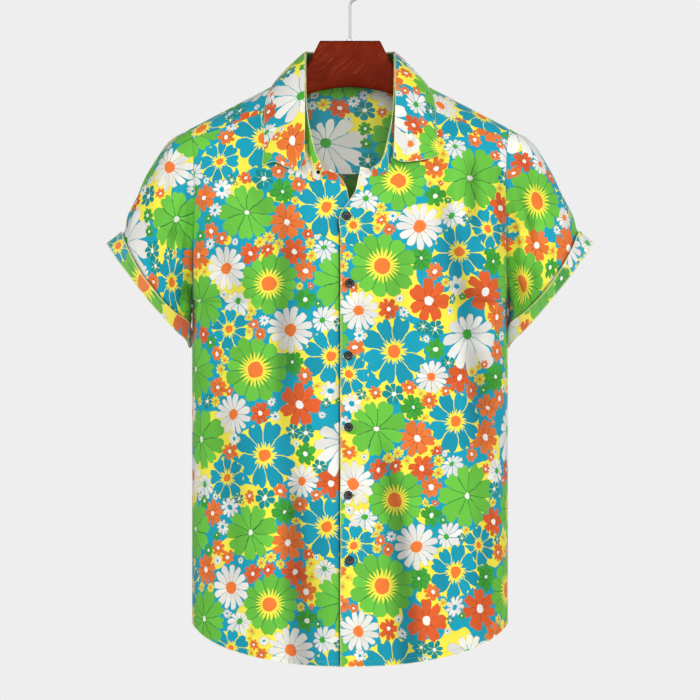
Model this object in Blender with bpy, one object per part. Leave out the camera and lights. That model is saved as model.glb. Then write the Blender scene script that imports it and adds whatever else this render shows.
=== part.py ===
"""A short-sleeved hawaiian shirt, hung on a wooden hanger.

Metres, +Z up. The shirt's front faces -Y and its wearer's left is +X. The origin is the inner
top of the steel hook, where a rail holds the hanger. The cloth is a thin wall on one hollow
form: an oval body below the armpits, closing over the hanger to a shoulder ridge above them.
Each panel is a grid of points on that form, thickened inwards, and stops short of its
neighbours by a seam gap.
"""

import math

import bmesh
import bpy
import numpy as np
from mathutils import Matrix, Vector

# Cloth
WALL = 0.0015
SEAM_GAP = 0.0003
LAP = WALL + 0.0005
CUFF_LAP = WALL + 0.0004

# Body, by height from the hook's inner top
SHOULDER_Z = -0.1024
SHOULDER_SLOPE = 0.5265
SHOULDER_ROUND = 0.020
ARMPIT_Z = -0.415
HEM_Z = -0.869
HEM_SIDE_RISE = 0.0375
HEM_SIDE_POWER = 2.2
HEM_CORNER_RISE = 0.015
HEM_CORNER_POWER = 12
HALF_WIDTH = 0.1975
OVAL_POWER = 2.3
ARMHOLE_HALF_DEPTH = 0.057
SIDE_EASE_POWER = 6
BODY_DEPTH = (
    # height, half depth at the middle
    (HEM_Z, 0.121),
    (-0.800, 0.118),
    (-0.600, 0.114),
    (ARMPIT_Z, 0.118),
)
ARMHOLE_LINE = (
    # share of the way round from armpit to ridge, half width there
    (0.00, HALF_WIDTH),
    (0.15, 0.1962),
    (0.40, 0.1948),
    (0.70, 0.1962),
    (0.90, 0.1988),
    (1.00, 0.2005),
)

# Neckline and yoke
NECK_SHARE = 0.35
BACK_NECK_DEPTH = 0.054
YOKE_BACK_Z = -0.253
YOKE_FRONT_DROP = 0.0142
YOKE_FRONT_FLARE = 0.166
YOKE_FRONT_END_X = 0.194
FRONT_TOP_Z = -0.2525
FRONT_NECKLINE = (
    # share of half width, height
    (0.00, FRONT_TOP_Z),
    (0.20, FRONT_TOP_Z),
    (0.24, -0.2495),
    (0.27, -0.2310),
    (0.30, -0.2040),
    (0.325, -0.1840),
)

# Front edges: the left front laps over the right one
LAP_BLEND = (0.024, 0.040)
LEFT_EDGE = (
    # height, x of the left front's edge
    (-0.335, -0.0106),
    (-0.308, -0.0120),
    (-0.294, -0.0015),
    (-0.285, 0.0050),
    (-0.265, 0.0105),
    (FRONT_TOP_Z, 0.0131),
)
RIGHT_EDGE = (
    # height, x of the right front's edge
    (-0.335, 0.0120),
    (-0.308, 0.0060),
    (-0.291, -0.0012),
    (-0.276, -0.0050),
    (-0.262, -0.0138),
    (FRONT_TOP_Z, -0.0238),
)

# Soft folds: side, top x and z, low x and z, half width, depth
FOLDS = (
    (-1, 0.045, -0.570, 0.080, -0.880, 0.017, -0.006),
    (-1, 0.075, -0.585, 0.112, -0.880, 0.019, 0.004),
    (-1, -0.072, -0.590, -0.060, -0.880, 0.016, -0.005),
    (-1, -0.110, -0.560, -0.098, -0.880, 0.020, 0.004),
    (1, 0.070, -0.400, 0.090, -0.880, 0.020, -0.006),
    (1, 0.035, -0.480, 0.040, -0.880, 0.018, 0.004),
    (1, -0.066, -0.380, -0.082, -0.880, 0.020, -0.006),
    (1, -0.118, -0.500, -0.130, -0.880, 0.020, 0.004),
)
FOLD_RUN_IN = 0.35

# Grids
HALF_SHARES = (0.35, 0.42, 0.51, 0.61, 0.71, 0.80, 0.88, 0.94, 0.98, 1.0)
NECK_SHARES = (0.20, 0.24, 0.27, 0.30, 0.325)
BACK_NECK_SHARES = (0.0, 0.10, 0.19, 0.26, 0.31, 0.338)
EDGE_COLUMNS = 3
LOW_ROWS = 9
UPPER_ROWS = 8
BACK_UPPER_ROWS = 5
YOKE_BACK_ROWS = 5
YOKE_FRONT_ROWS = 2
ROW_CROWDING = 1.6

# Sleeves and cuffs
SLEEVE_SECTIONS = (
    # share of the length, top x and z, low x and z, half depth, droop of the front and back
    (0.00, 0.2008, -0.1985, 0.1978, -0.4150, 0.0570, 0.000),
    (0.16, 0.2270, -0.2160, 0.1990, -0.4180, 0.0590, 0.000),
    (0.34, 0.2475, -0.2495, 0.1996, -0.4230, 0.0600, 0.001),
    (0.54, 0.2625, -0.2800, 0.2002, -0.4300, 0.0590, 0.003),
    (0.76, 0.2770, -0.3100, 0.2008, -0.4380, 0.0560, 0.007),
    (0.87, 0.2845, -0.3275, 0.2014, -0.4440, 0.0530, 0.010),
    (0.93, 0.2940, -0.3345, 0.2012, -0.4570, 0.0480, 0.006),
    (1.00, 0.3045, -0.3415, 0.2010, -0.4715, 0.0420, 0.000),
)
SLEEVE_ROWS = (0.0, 0.09, 0.2, 0.34, 0.54, 0.74, 0.87, 0.935, 1.0)
CUFF_ROWS = (0.87, 0.935, 1.0)
CUFF_FLARE = 0.0010
ARMHOLE_GAP = 0.0004
ARMHOLE_FADE = 0.6
ARMHOLE_TILT = 0.6

# Collar. Its stations run from the middle of the back to the front end of each side: round
# the back neckline, over the shoulder ridge, down the front neckline, and on to the loose end
STAND_BACK = (
    # x and y of the stand's top edge round the back, up to the shoulder
    (0.0000, 0.0480),
    (0.0165, 0.0462),
    (0.0315, 0.0405),
    (0.0430, 0.0310),
    (0.0505, 0.0205),
    (0.0545, 0.0100),
)
STAND_TOP_Z = -0.1020
STAND_TOP_FRONT = (
    # x, y and height of the stand's top edge, one row a station from the ridge on
    (0.0553, -0.0030, -0.1035),
    (0.0557, -0.0330, -0.1135),
    (0.0556, -0.0630, -0.1400),
    (0.0548, -0.0830, -0.1650),
    (0.0525, -0.0960, -0.1880),
    (0.0475, -0.1045, -0.2120),
    (0.0432, -0.1085, -0.2285),
)
STAND_TOP_END = {
    # the same along each loose end
    "left": ((0.0380, -0.1100, -0.2390), (0.0268, -0.1100, -0.2475)),
    "right": ((0.0375, -0.1105, -0.2400), (0.0335, -0.1105, -0.2480)),
}
STAND_SEAM_END = {
    # the loose end's lower edge: x, height and distance off the body
    "left": ((0.0390, -0.2545, 0.0034), (0.0270, -0.2570, 0.0040)),
    "right": ((0.0450, -0.2590, 0.0036), (0.0375, -0.2620, 0.0036)),
}
STAND_SEAM_GAP = 0.00045
STAND_ROWS = 3
LEAF_BACK = (
    # x and y of the leaf's edge round the back, up to the shoulder
    (0.0000, 0.0720),
    (0.0220, 0.0705),
    (0.0430, 0.0650),
    (0.0610, 0.0540),
    (0.0740, 0.0400),
    (0.0830, 0.0230),
)
LEAF_FRONT = {
    # the fold's x, y and height, then the edge's x and height, from the ridge on
    "left": (
        (0.0556, -0.0030, -0.1030, 0.0915, -0.1400),
        (0.0562, -0.0330, -0.1128, 0.0975, -0.1490),
        (0.0562, -0.0640, -0.1400, 0.1035, -0.1640),
        (0.0560, -0.0880, -0.1680, 0.1065, -0.1930),
        (0.0553, -0.1000, -0.1990, 0.1085, -0.2180),
        (0.0540, -0.1020, -0.2350, 0.1090, -0.2330),
    ),
    "right": (
        (0.0556, -0.0030, -0.1030, 0.0915, -0.1400),
        (0.0562, -0.0330, -0.1128, 0.0980, -0.1500),
        (0.0562, -0.0640, -0.1400, 0.1045, -0.1670),
        (0.0560, -0.0880, -0.1680, 0.1068, -0.1960),
        (0.0560, -0.1000, -0.1980, 0.1062, -0.2190),
        (0.0563, -0.1010, -0.2305, 0.1088, -0.2450),
    ),
}
LEAF_CLEARANCE = 0.0016
LEAF_ROWS = 5
LEAF_LIFT = 0.0035
LEAF_EDGE_SAG = 0.011

# Buttons
BUTTON_RADIUS = 0.0056
STAND_BUTTON_RADIUS = 0.0024
BUTTON_THICKNESS = 0.0024
BUTTON_RIM = 0.0009
BUTTON_SIDES = 16
BUTTON_DISH = (
    # share of the rim's inner radius, share of the thickness
    (0.00, 0.62),
    (0.80, 0.66),
    (1.00, 1.00),
)
BUTTON_SIDE = (
    # share of the radius, share of the thickness
    (1.00, 0.70),
    (0.88, 0.00),
    (0.00, 0.00),
)
STAND_BUTTON_STANDOFF = 0.0010
BUTTONS = (
    # x, height
    (-0.0045, -0.3075),
    (-0.0005, -0.3908),
    (-0.0022, -0.4811),
    (-0.0018, -0.5701),
    (-0.0018, -0.6555),
    (-0.0006, -0.7364),
)

# Hanger
HANGER_SECTIONS = (
    # x, top height, bottom height, half depth
    (0.0000, -0.0880, -0.1455, 0.0115),
    (0.0180, -0.0880, -0.1465, 0.0115),
    (0.0350, -0.0880, -0.1495, 0.0115),
    (0.0400, -0.0930, -0.1505, 0.0115),
    (0.0470, -0.1080, -0.1525, 0.0113),
    (0.0560, -0.1210, -0.1555, 0.0112),
    (0.0650, -0.1330, -0.1600, 0.0111),
)
ARM_HALF_DEPTH = 0.0110
ARM_END_HALF_DEPTH = 0.0125
ARM_HEIGHT = 0.0330
ARM_END_HEIGHT = 0.0220
ARM_STATIONS = (0.078, 0.095, 0.115, 0.135, 0.155, 0.172, 0.184, 0.190)
ARM_END_X = 0.190
ARM_SEAT_GAP = 0.0004
ARM_CROWN_DROP = 1.05
HANGER_SIDES = 16
HANGER_SQUARENESS = 0.62
HOOK_WIRE_RADIUS = 0.00165
HOOK_INNER_RADIUS = 0.0175
HOOK_STEM_TOP_Z = -0.043
HOOK_SOCKET_DEPTH = 0.014
CUTTER_CLEARANCE = 0.010
ROUND_SIDES = 16
HOOK_BEND_PULL = 0.013
HOOK_BEND_STEPS = 7
HOOK_FROM_DEGREES = -65.0
HOOK_TO_DEGREES = 212.0
HOOK_ARC_STEPS = 26
FERRULE_RADIUS = 0.0040
FERRULE_HEIGHT = 0.0042
FERRULE_CHAMFER = 0.0009


def between(table, at, column=1):
    """A table's column at a value of its first column, by straight lines."""
    rows = sorted(table, key=lambda row: row[0])
    return float(np.interp(at, [row[0] for row in rows], [row[column] for row in rows]))


def smooth(t):
    t = min(max(t, 0.0), 1.0)
    return t * t * (3 - 2 * t)


# The body's form


def ridge_z(x):
    """Height of the shoulder line."""
    return SHOULDER_Z - SHOULDER_SLOPE * (math.hypot(x, SHOULDER_ROUND) - SHOULDER_ROUND)


def oval(share):
    return max(0.0, 1 - abs(share) ** OVAL_POWER) ** (1 / OVAL_POWER)


def armhole_half_depth(v):
    return ARMHOLE_HALF_DEPTH * math.sqrt(max(0.0, math.sin(math.pi * min(max(v, 0.0), 1.0))))


def half_width(v):
    return between(ARMHOLE_LINE, max(v, 0.0))


def fold_offset(x, z, side):
    """How far the soft folds move the body's surface out."""
    total = 0.0
    for fold_side, top_x, top_z, low_x, low_z, width, depth in FOLDS:
        if fold_side == side and z < top_z:
            along = (top_z - z) / (top_z - low_z)
            off = (x - (top_x + (low_x - top_x) * along)) / width
            total += depth * smooth(along / FOLD_RUN_IN) * math.exp(-off * off)
    return total


def body_point(x, v, side):
    """The body's outer surface at x. v is metres below the armpits where it is negative, and
    above them goes from 0 at the armpits to 1 on the shoulder ridge. side is -1 for the front."""
    share = min(1.0, abs(x) / half_width(v))
    if v <= 0:
        z = ARMPIT_Z + v
        depth = between(BODY_DEPTH, z) * oval(share)
        depth += fold_offset(x, z, side) * (1 - share**SIDE_EASE_POWER)
    else:
        turn = v * math.pi / 2
        z = ARMPIT_Z + (ridge_z(x) - ARMPIT_Z) * math.sin(turn)
        depth = between(BODY_DEPTH, ARMPIT_Z) * math.cos(turn) * oval(share)
        depth += armhole_half_depth(v) * (1 - oval(share))
    return Vector((x, side * depth, z))


def v_at(x, z):
    """The v of a height on the body at x."""
    if z <= ARMPIT_Z:
        return z - ARMPIT_Z
    return math.asin(min(1.0, (z - ARMPIT_Z) / (ridge_z(x) - ARMPIT_Z))) / (math.pi / 2)


def v_at_depth(x, depth):
    """The v above the armpits where the body at x is this deep."""
    low, high = 0.0, 1.0
    for _ in range(40):
        middle = (low + high) / 2
        if abs(body_point(x, middle, 1).y) > depth:
            low = middle
        else:
            high = middle
    return low


def body_height(point):
    """How far a point lies outside the upper body, and the way out, both near the surface."""

    def measure(p):
        share = min(1.0, abs(p.x) / half_width(0.8))
        v = v_at(p.x, min(p.z, ridge_z(p.x)))
        depth = abs(p.y) - armhole_half_depth(v) * (1 - oval(share))
        across = depth / (between(BODY_DEPTH, ARMPIT_Z) * max(oval(share), 0.05))
        up = (p.z - ARMPIT_Z) / (ridge_z(p.x) - ARMPIT_Z)
        return math.hypot(across, up) - 1

    step = 1e-5
    here = measure(point)
    slope = Vector(
        [
            (measure(point + Vector(axis) * step) - here) / step
            for axis in ((1, 0, 0), (0, 1, 0), (0, 0, 1))
        ]
    )
    return here / slope.length, slope.normalized()


def pushed_out(point, clearance):
    """The point, moved out of the body until it clears it by this much."""
    for _ in range(3):
        away, out = body_height(point)
        if away < clearance:
            point = point + out * (clearance - away)
    return point


def off_body(x, z, away, side=-1):
    """A point on the upper body at x and a height, moved out by a distance."""
    if z >= ridge_z(x) - 1e-6:
        point = Vector((x, 0.0, ridge_z(x)))
    else:
        point = body_point(x, v_at(x, z), side)
    return point + body_height(point)[1] * away


def hem_z(share):
    """Height of the shirt-tail hem at a share of the half width."""
    share = abs(share)
    rise = HEM_SIDE_RISE * share**HEM_SIDE_POWER
    return HEM_Z + rise + HEM_CORNER_RISE * share**HEM_CORNER_POWER


def yoke_front_v(share):
    """The v of the front yoke seam, at its share of the half width."""
    x = abs(share) * half_width(0.8)
    return v_at(x, ridge_z(x) - YOKE_FRONT_DROP - YOKE_FRONT_FLARE * (YOKE_FRONT_END_X - x))


def back_neck_v(share):
    x = abs(share) * half_width(0.9)
    depth = BACK_NECK_DEPTH * math.sqrt(max(0.0, 1 - (share / NECK_SHARE) ** 2))
    return v_at_depth(x, depth) if depth > 1e-6 else 1.0


# Meshes


def grid_normals(grid, wrap=False):
    """A unit normal at each point of a grid of rows, from its neighbours."""
    rows, columns = len(grid), len(grid[0])
    normals = []
    for j in range(rows):
        line = []
        for i in range(columns):
            if wrap:
                across = grid[j][(i + 1) % columns] - grid[j][i - 1]
            else:
                across = grid[j][min(i + 1, columns - 1)] - grid[j][max(i - 1, 0)]
            up = grid[min(j + 1, rows - 1)][i] - grid[max(j - 1, 0)][i]
            line.append(across.cross(up).normalized())
        normals.append(line)
    return normals


def wall_faces(keep, rows, columns, wrap=False):
    """The faces of a wall between an outer and an inner grid, where the grid's cells are kept."""
    wide = columns if wrap else columns - 1
    inner = rows * columns

    def corner(j, i):
        return j * columns + i % columns

    cells = {(j, i) for j in range(rows - 1) for i in range(wide) if keep(j, i)}
    faces = []
    for j, i in sorted(cells):
        ring = [corner(j, i), corner(j, i + 1), corner(j + 1, i + 1), corner(j + 1, i)]
        for a, b, c in ((0, 1, 2), (0, 2, 3)):
            faces.append([ring[a], ring[b], ring[c]])
            faces.append([ring[c] + inner, ring[b] + inner, ring[a] + inner])
        around = ((j - 1, i), (j, i + 1), (j + 1, i), (j, i - 1))
        for side, (nj, ni) in enumerate(around):
            if (nj, ni % columns if wrap else ni) not in cells:
                a, b = ring[side], ring[(side + 1) % 4]
                faces.append([b, a, a + inner, b + inner])
    return faces


def add_object(name, mesh, material):
    if not mesh.materials:
        mesh.materials.append(material)
    thing = bpy.data.objects.new(name, mesh)
    bpy.context.scene.collection.objects.link(thing)
    return thing


def finish_bmesh(name, bm, material, smooth_angle=35.0):
    bmesh.ops.delete(bm, geom=[v for v in bm.verts if not v.link_faces], context="VERTS")
    bmesh.ops.recalc_face_normals(bm, faces=bm.faces)
    mesh = bpy.data.meshes.new(name)
    bm.to_mesh(mesh)
    bm.free()
    mesh.shade_smooth()
    mesh.set_sharp_from_angle(angle=math.radians(smooth_angle))
    return add_object(name, mesh, material)


def wall_object(name, outer, normals, material, keep=None, wrap=False, thickness=WALL):
    """A cloth piece: its outer points, and the same points moved in by the wall."""
    rows, columns = len(outer), len(outer[0])
    inner = [
        [outer[j][i] - normals[j][i] * thickness for i in range(columns)] for j in range(rows)
    ]
    faces = wall_faces(keep or (lambda j, i: True), rows, columns, wrap)
    bm = bmesh.new()
    verts = [bm.verts.new(point) for line in outer + inner for point in line]
    for face in faces:
        bm.faces.new([verts[index] for index in face])
    return finish_bmesh(name, bm, material)


def pulled_in(grid, sides):
    """The grid with its named edges moved towards its middle by half a seam gap."""
    moved = [list(line) for line in grid]
    rows, columns = len(grid), len(grid[0])

    def pull(j, i, nj, ni):
        way = grid[nj][ni] - grid[j][i]
        moved[j][i] = moved[j][i] + way.normalized() * SEAM_GAP / 2

    for i in range(columns):
        if "low" in sides:
            pull(0, i, 1, i)
        if "top" in sides:
            pull(rows - 1, i, rows - 2, i)
    for j in range(rows):
        if "first" in sides:
            pull(j, 0, j, 1)
        if "last" in sides:
            pull(j, columns - 1, j, columns - 2)
    return moved


def material(name, colour, roughness, metallic=0.0):
    made = bpy.data.materials.new(name)
    made.use_nodes = True
    shader = made.node_tree.nodes["Principled BSDF"]
    shader.inputs["Base Color"].default_value = (*colour, 1.0)
    shader.inputs["Roughness"].default_value = roughness
    shader.inputs["Metallic"].default_value = metallic
    return made


# Panels


def body_normal(x, v, side):
    """The body's outward normal, the same for every panel that meets there."""
    step = 0.002
    edge = half_width(v)
    x = min(max(x, -edge), edge)
    toward = -1 if x > 0 else 1
    if v <= 0 and abs(x) > edge - 1e-6:
        return Vector((math.copysign(1.0, x), 0.0, 0.0))
    if v > 0 and abs(x) > edge - 1e-6:
        x += toward * step
    if v > 1 - 1e-6:
        tilt = (ridge_z(x + step) - ridge_z(x - step)) / (2 * step)
        return Vector((-tilt, 0.0, 1.0)).normalized()
    across = body_point(x + step, v, side) - body_point(x - step, v, side)
    rise = step if v <= -step else 0.01
    up = body_point(x, v + rise, side) - body_point(x, max(v - rise, -1), side)
    return (across.cross(up) * -side).normalized()


def row_share(j, rows):
    """Rows lie closer near the armpit, where the armhole turns."""
    return (j / rows) ** ROW_CROWDING


def panel_rows(low_v, top_v, upper_rows):
    """The v of each row of a column, from the hem to its top."""
    low = [low_v * (1 - j / LOW_ROWS) for j in range(LOW_ROWS)]
    return low + [top_v * row_share(j, upper_rows) for j in range(upper_rows + 1)]


def armhole_normal(sign, v, side):
    """The way out of the wall at the armhole, the same for the body and for the sleeve."""
    step = 0.01
    before, after = max(v - step, 0), min(v + step, 1)
    along = body_point(sign * half_width(after), after, side)
    along = along - body_point(sign * half_width(before), before, side)
    radial = Vector((0, along.z * side, -along.y * side)).normalized()
    if v > 1 - 1e-6:
        radial = Vector((0, 0, 1))
    if v < 1e-6:
        radial = Vector((0, 0, -1))
    return (radial + Vector((sign * ARMHOLE_TILT, 0, 0))).normalized()


def at_share(share, v, side):
    """A panel's point and way out, at its share of the half width."""
    x = share * half_width(v)
    if abs(share) > 1 - 1e-9 and v > -1e-9:
        return body_point(x, v, side), armhole_normal(math.copysign(1, share), v, side)
    return body_point(x, v, side), body_normal(x, v, side)


def seam_step(share, v, side):
    """Half a seam gap away from the side seam, for the rows below the armpits."""
    at_side = abs(share) > 1 - 1e-9 and v <= 1e-9
    return Vector((0.0, side * SEAM_GAP / 2, 0.0)) if at_side else Vector()


def front_top_v(share):
    share = abs(share)
    if share >= NECK_SHARE - 1e-9:
        return yoke_front_v(share)
    x = share * half_width(0.7)
    return v_at(x, between(FRONT_NECKLINE, share))


def front_grid(sign, edge_table, lift):
    """Points and normals of a front, in columns from its edge to its side seam."""
    shares = [sign * share for share in NECK_SHARES + HALF_SHARES]
    columns = []
    first = abs(shares[0])
    for share in shares:
        column = []
        for v in panel_rows(hem_z(share) - ARMPIT_Z, front_top_v(share), UPPER_ROWS):
            point, normal = at_share(share, v, -1)
            column.append((point + seam_step(share, v, -1), normal))
        columns.append(column)
    for k in range(EDGE_COLUMNS - 1, -1, -1):
        column = []
        low_v = hem_z(first * k / EDGE_COLUMNS) - ARMPIT_Z
        for v in panel_rows(low_v, front_top_v(first), UPPER_ROWS):
            inside = sign * first * half_width(v)
            edge = between(edge_table, body_point(inside, v, -1).z)
            x = edge + (inside - edge) * k / EDGE_COLUMNS
            column.append((body_point(x, v, -1), body_normal(x, v, -1)))
        columns.insert(0, column)
    rows = len(columns[0])
    points, normals = [], []
    for j in range(rows):
        line = []
        for column in columns:
            point, normal = column[j]
            near = smooth((LAP_BLEND[1] - point.x * sign) / (LAP_BLEND[1] - LAP_BLEND[0]))
            line.append(point + normal * lift * near)
        points.append(line)
        normals.append([column[j][1] for column in columns])
    return points, normals


def make_fronts(cloth):
    made = []
    for name, sign, table, lift in (
        ("front_left", 1, LEFT_EDGE, LAP),
        ("front_right", -1, RIGHT_EDGE, 0.0),
    ):
        points, normals = front_grid(sign, table, lift)
        made.append(wall_object(name, pulled_in(points, ("top",)), normals, cloth))
    return made


def full_shares():
    """The columns of the back and the yoke, from the right armhole to the left one."""
    left = BACK_NECK_SHARES[1:] + HALF_SHARES
    return [-share for share in reversed(left)] + [0.0] + list(left)


def yoke_back_v(share):
    return v_at(share * half_width(0.55), YOKE_BACK_Z)


def make_back(cloth):
    points, normals = [], []
    shares = full_shares()
    columns = [
        panel_rows(hem_z(share) - ARMPIT_Z, yoke_back_v(share), BACK_UPPER_ROWS)
        for share in shares
    ]
    for j in range(len(columns[0])):
        line = []
        turned = []
        for share, column in zip(shares, columns):
            point, normal = at_share(share, column[j], 1)
            line.append(point + seam_step(share, column[j], 1))
            turned.append(normal)
        points.append(line)
        normals.append(turned)
    return wall_object("back", pulled_in(points, ("top",)), normals, cloth)


def yoke_column(share):
    """The yoke's v and side, from its back seam over the ridge to its front seams."""
    low = yoke_back_v(share)
    top = back_neck_v(share) if abs(share) < NECK_SHARE else 1.0
    rows = [(low + (top - low) * j / YOKE_BACK_ROWS, 1) for j in range(YOKE_BACK_ROWS + 1)]
    front = yoke_front_v(share) if abs(share) >= NECK_SHARE else 1.0
    for j in range(1, YOKE_FRONT_ROWS + 1):
        rows.append((1.0 + (front - 1.0) * j / YOKE_FRONT_ROWS, -1))
    return rows


def make_yoke(cloth):
    shares = full_shares()
    columns = [yoke_column(share) for share in shares]
    points, normals = [], []
    for j in range(len(columns[0])):
        line, turned = [], []
        for share, column in zip(shares, columns):
            v, side = column[j]
            point, normal = at_share(share, v, side)
            line.append(point)
            turned.append(normal)
        points.append(line)
        normals.append(turned)

    def keep(j, i):
        over_front = j >= YOKE_BACK_ROWS
        inside_neck = abs(shares[i] + shares[i + 1]) / 2 < NECK_SHARE
        return not (over_front and inside_neck)

    return wall_object("yoke", pulled_in(points, ("low", "top")), normals, cloth, keep)


# Sleeves


def armhole_loop(sign):
    """The armhole's points, from the ridge down the front to the armpit and up the back."""
    front_top, back_top = yoke_front_v(1.0), yoke_back_v(1.0)
    rows = [(1.0 + (front_top - 1.0) * j / YOKE_FRONT_ROWS, -1) for j in range(YOKE_FRONT_ROWS)]
    rows += [(front_top * row_share(j, UPPER_ROWS), -1) for j in range(UPPER_ROWS, -1, -1)]
    rows += [(back_top * row_share(j, BACK_UPPER_ROWS), 1) for j in range(1, BACK_UPPER_ROWS)]
    rows += [(back_top + (1.0 - back_top) * j / YOKE_BACK_ROWS, 1) for j in range(YOKE_BACK_ROWS)]
    return [at_share(sign, v, side) for v, side in rows]


def loop_angles(loop):
    """How far round each point of the armhole lies, half a turn being the armpit."""
    bottom = min(range(len(loop)), key=lambda i: loop[i].z)
    count = len(loop)
    lengths = [(loop[(i + 1) % count] - loop[i]).length for i in range(count)]
    down, up = sum(lengths[:bottom]), sum(lengths[bottom:])
    angles = [math.pi * sum(lengths[:i]) / down for i in range(bottom + 1)]
    angles += [math.pi * (1 + sum(lengths[bottom:i]) / up) for i in range(bottom + 1, count)]
    return angles


def sleeve_ring(share, angles, sign):
    top_x, top_z, low_x, low_z, depth, droop = (
        between(SLEEVE_SECTIONS, share, column) for column in range(1, 7)
    )
    top, low = Vector((top_x, 0, top_z)), Vector((low_x, 0, low_z))
    middle, reach = (top + low) / 2, (top - low) / 2
    down = Vector((-reach.z, 0, reach.x)).normalized() * -droop
    ring = []
    for angle in angles:
        point = middle + reach * math.cos(angle) + Vector((0, -depth * math.sin(angle), 0))
        point += down * math.sin(angle) ** 2
        ring.append(Vector((point.x * sign, point.y, point.z)))
    return ring


def sleeve_grid(sign, shares):
    """Rings of a sleeve's outer surface, the first along the armhole."""
    loop = [point for point, _ in armhole_loop(sign)]
    angles = loop_angles(loop)
    gap = Vector((ARMHOLE_GAP * sign, 0, 0))
    start = sleeve_ring(0.0, angles, sign)
    rings = []
    for share in shares:
        fade = (1 - min(1.0, share / ARMHOLE_FADE)) ** 2
        ring = sleeve_ring(share, angles, sign)
        rings.append(
            [
                point + (hole + gap - first) * fade
                for point, hole, first in zip(ring, loop, start)
            ]
        )
    return rings


def make_sleeve(name, sign, cloth):
    rings = sleeve_grid(sign, SLEEVE_ROWS)
    normals = grid_normals(rings, wrap=True)
    normals = [[normal * sign for normal in line] for line in normals]
    normals[0] = [normal for _, normal in armhole_loop(sign)]
    return wall_object(name, rings, normals, cloth, wrap=True)


def make_cuff(name, sign, cloth):
    rings = sleeve_grid(sign, CUFF_ROWS)
    normals = [[normal * sign for normal in line] for line in grid_normals(rings, wrap=True)]
    flares = (CUFF_FLARE, 0.0, 0.0)
    outer = [
        [point + normal * (CUFF_LAP + flare) for point, normal in zip(line, turned)]
        for line, turned, flare in zip(rings, normals, flares)
    ]
    return wall_object(name, outer, normals, cloth, wrap=True)


# Collar


def neckline():
    """Points of the panels' neckline, from the middle of the back to the front's centre."""
    points = [at_share(share, back_neck_v(share), 1)[0] for share in BACK_NECK_SHARES]
    corner = yoke_front_v(NECK_SHARE)
    for j in range(YOKE_FRONT_ROWS + 1):
        points.append(at_share(NECK_SHARE, 1 + (corner - 1) * j / YOKE_FRONT_ROWS, -1)[0])
    for share in reversed(NECK_SHARES[1:]):
        points.append(at_share(share, front_top_v(share), -1)[0])
    return points


def mirrored(point, sign):
    return Vector((point.x * sign, point.y, point.z))


def stand_side(which):
    """The stand's seam and top points on one side, from the middle of the back forwards."""
    top = [Vector((x, y, STAND_TOP_Z)) for x, y in STAND_BACK]
    top += [Vector(place) for place in STAND_TOP_FRONT + STAND_TOP_END[which]]
    seam = neckline()
    seam = [low + (high - low).normalized() * STAND_SEAM_GAP for low, high in zip(seam, top)]
    seam += [off_body(x, z, off) for x, z, off in STAND_SEAM_END[which]]
    return seam, top


def whole_collar(right, left):
    """Both sides as one run, from the wearer's right front end to the left one."""
    return [mirrored(point, -1) for point in reversed(right)][:-1] + list(left)


def make_stand(cloth):
    sides = {which: stand_side(which) for which in ("right", "left")}
    seams = whole_collar(sides["right"][0], sides["left"][0])
    tops = whole_collar(sides["right"][1], sides["left"][1])
    grid = [
        [low.lerp(high, j / STAND_ROWS) for low, high in zip(seams, tops)]
        for j in range(STAND_ROWS + 1)
    ]
    normals = [[-normal for normal in line] for line in grid_normals(grid)]
    return wall_object("collar_stand", grid, normals, cloth)


def halved(points):
    """The run with a point added in the middle of each step, on a cubic through its neighbours."""
    outer_weight = -1 / 16
    run = []
    for k, point in enumerate(points[:-1]):
        before = points[max(k - 1, 0)]
        after, beyond = points[k + 1], points[min(k + 2, len(points) - 1)]
        middle = (point + after) * (0.5 - outer_weight) + (before + beyond) * outer_weight
        run += [point, middle]
    return run + [points[-1]]


def leaf_side(which):
    """Rows of the leaf's underside on one side, from its fold to its edge."""
    folds = [Vector((x, y, STAND_TOP_Z + SEAM_GAP)) for x, y in STAND_BACK]
    edges = [body_point(x, v_at_depth(x, y), 1) for x, y in LEAF_BACK]
    for fold_x, fold_y, fold_z, edge_x, edge_z in LEAF_FRONT[which]:
        folds.append(Vector((fold_x, fold_y, fold_z)))
        edges.append(off_body(edge_x, edge_z, LEAF_CLEARANCE))
    folds, edges = halved(folds), halved(edges)
    rows = [list(folds)]
    last = len(folds) - 1
    for j in range(1, LEAF_ROWS + 1):
        share = j / LEAF_ROWS
        line = []
        for k, (fold, edge) in enumerate(zip(folds, edges)):
            point = fold.lerp(edge, share)
            out = body_height(point)[1]
            point = point + out * LEAF_LIFT * 4 * share * (1 - share)
            if k == last:
                point.z -= LEAF_EDGE_SAG * math.sin(math.pi * share)
            line.append(pushed_out(point, LEAF_CLEARANCE))
        rows.append(line)
    return rows


def make_leaf(cloth):
    sides = {which: leaf_side(which) for which in ("right", "left")}
    grid = [
        whole_collar(right, left) for right, left in zip(sides["right"], sides["left"])
    ]
    normals = grid_normals(grid)
    outer = [
        [point + normal * WALL for point, normal in zip(line, turned)]
        for line, turned in zip(grid, normals)
    ]
    return wall_object("collar_leaf", outer, normals, cloth)


# Buttons


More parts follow.
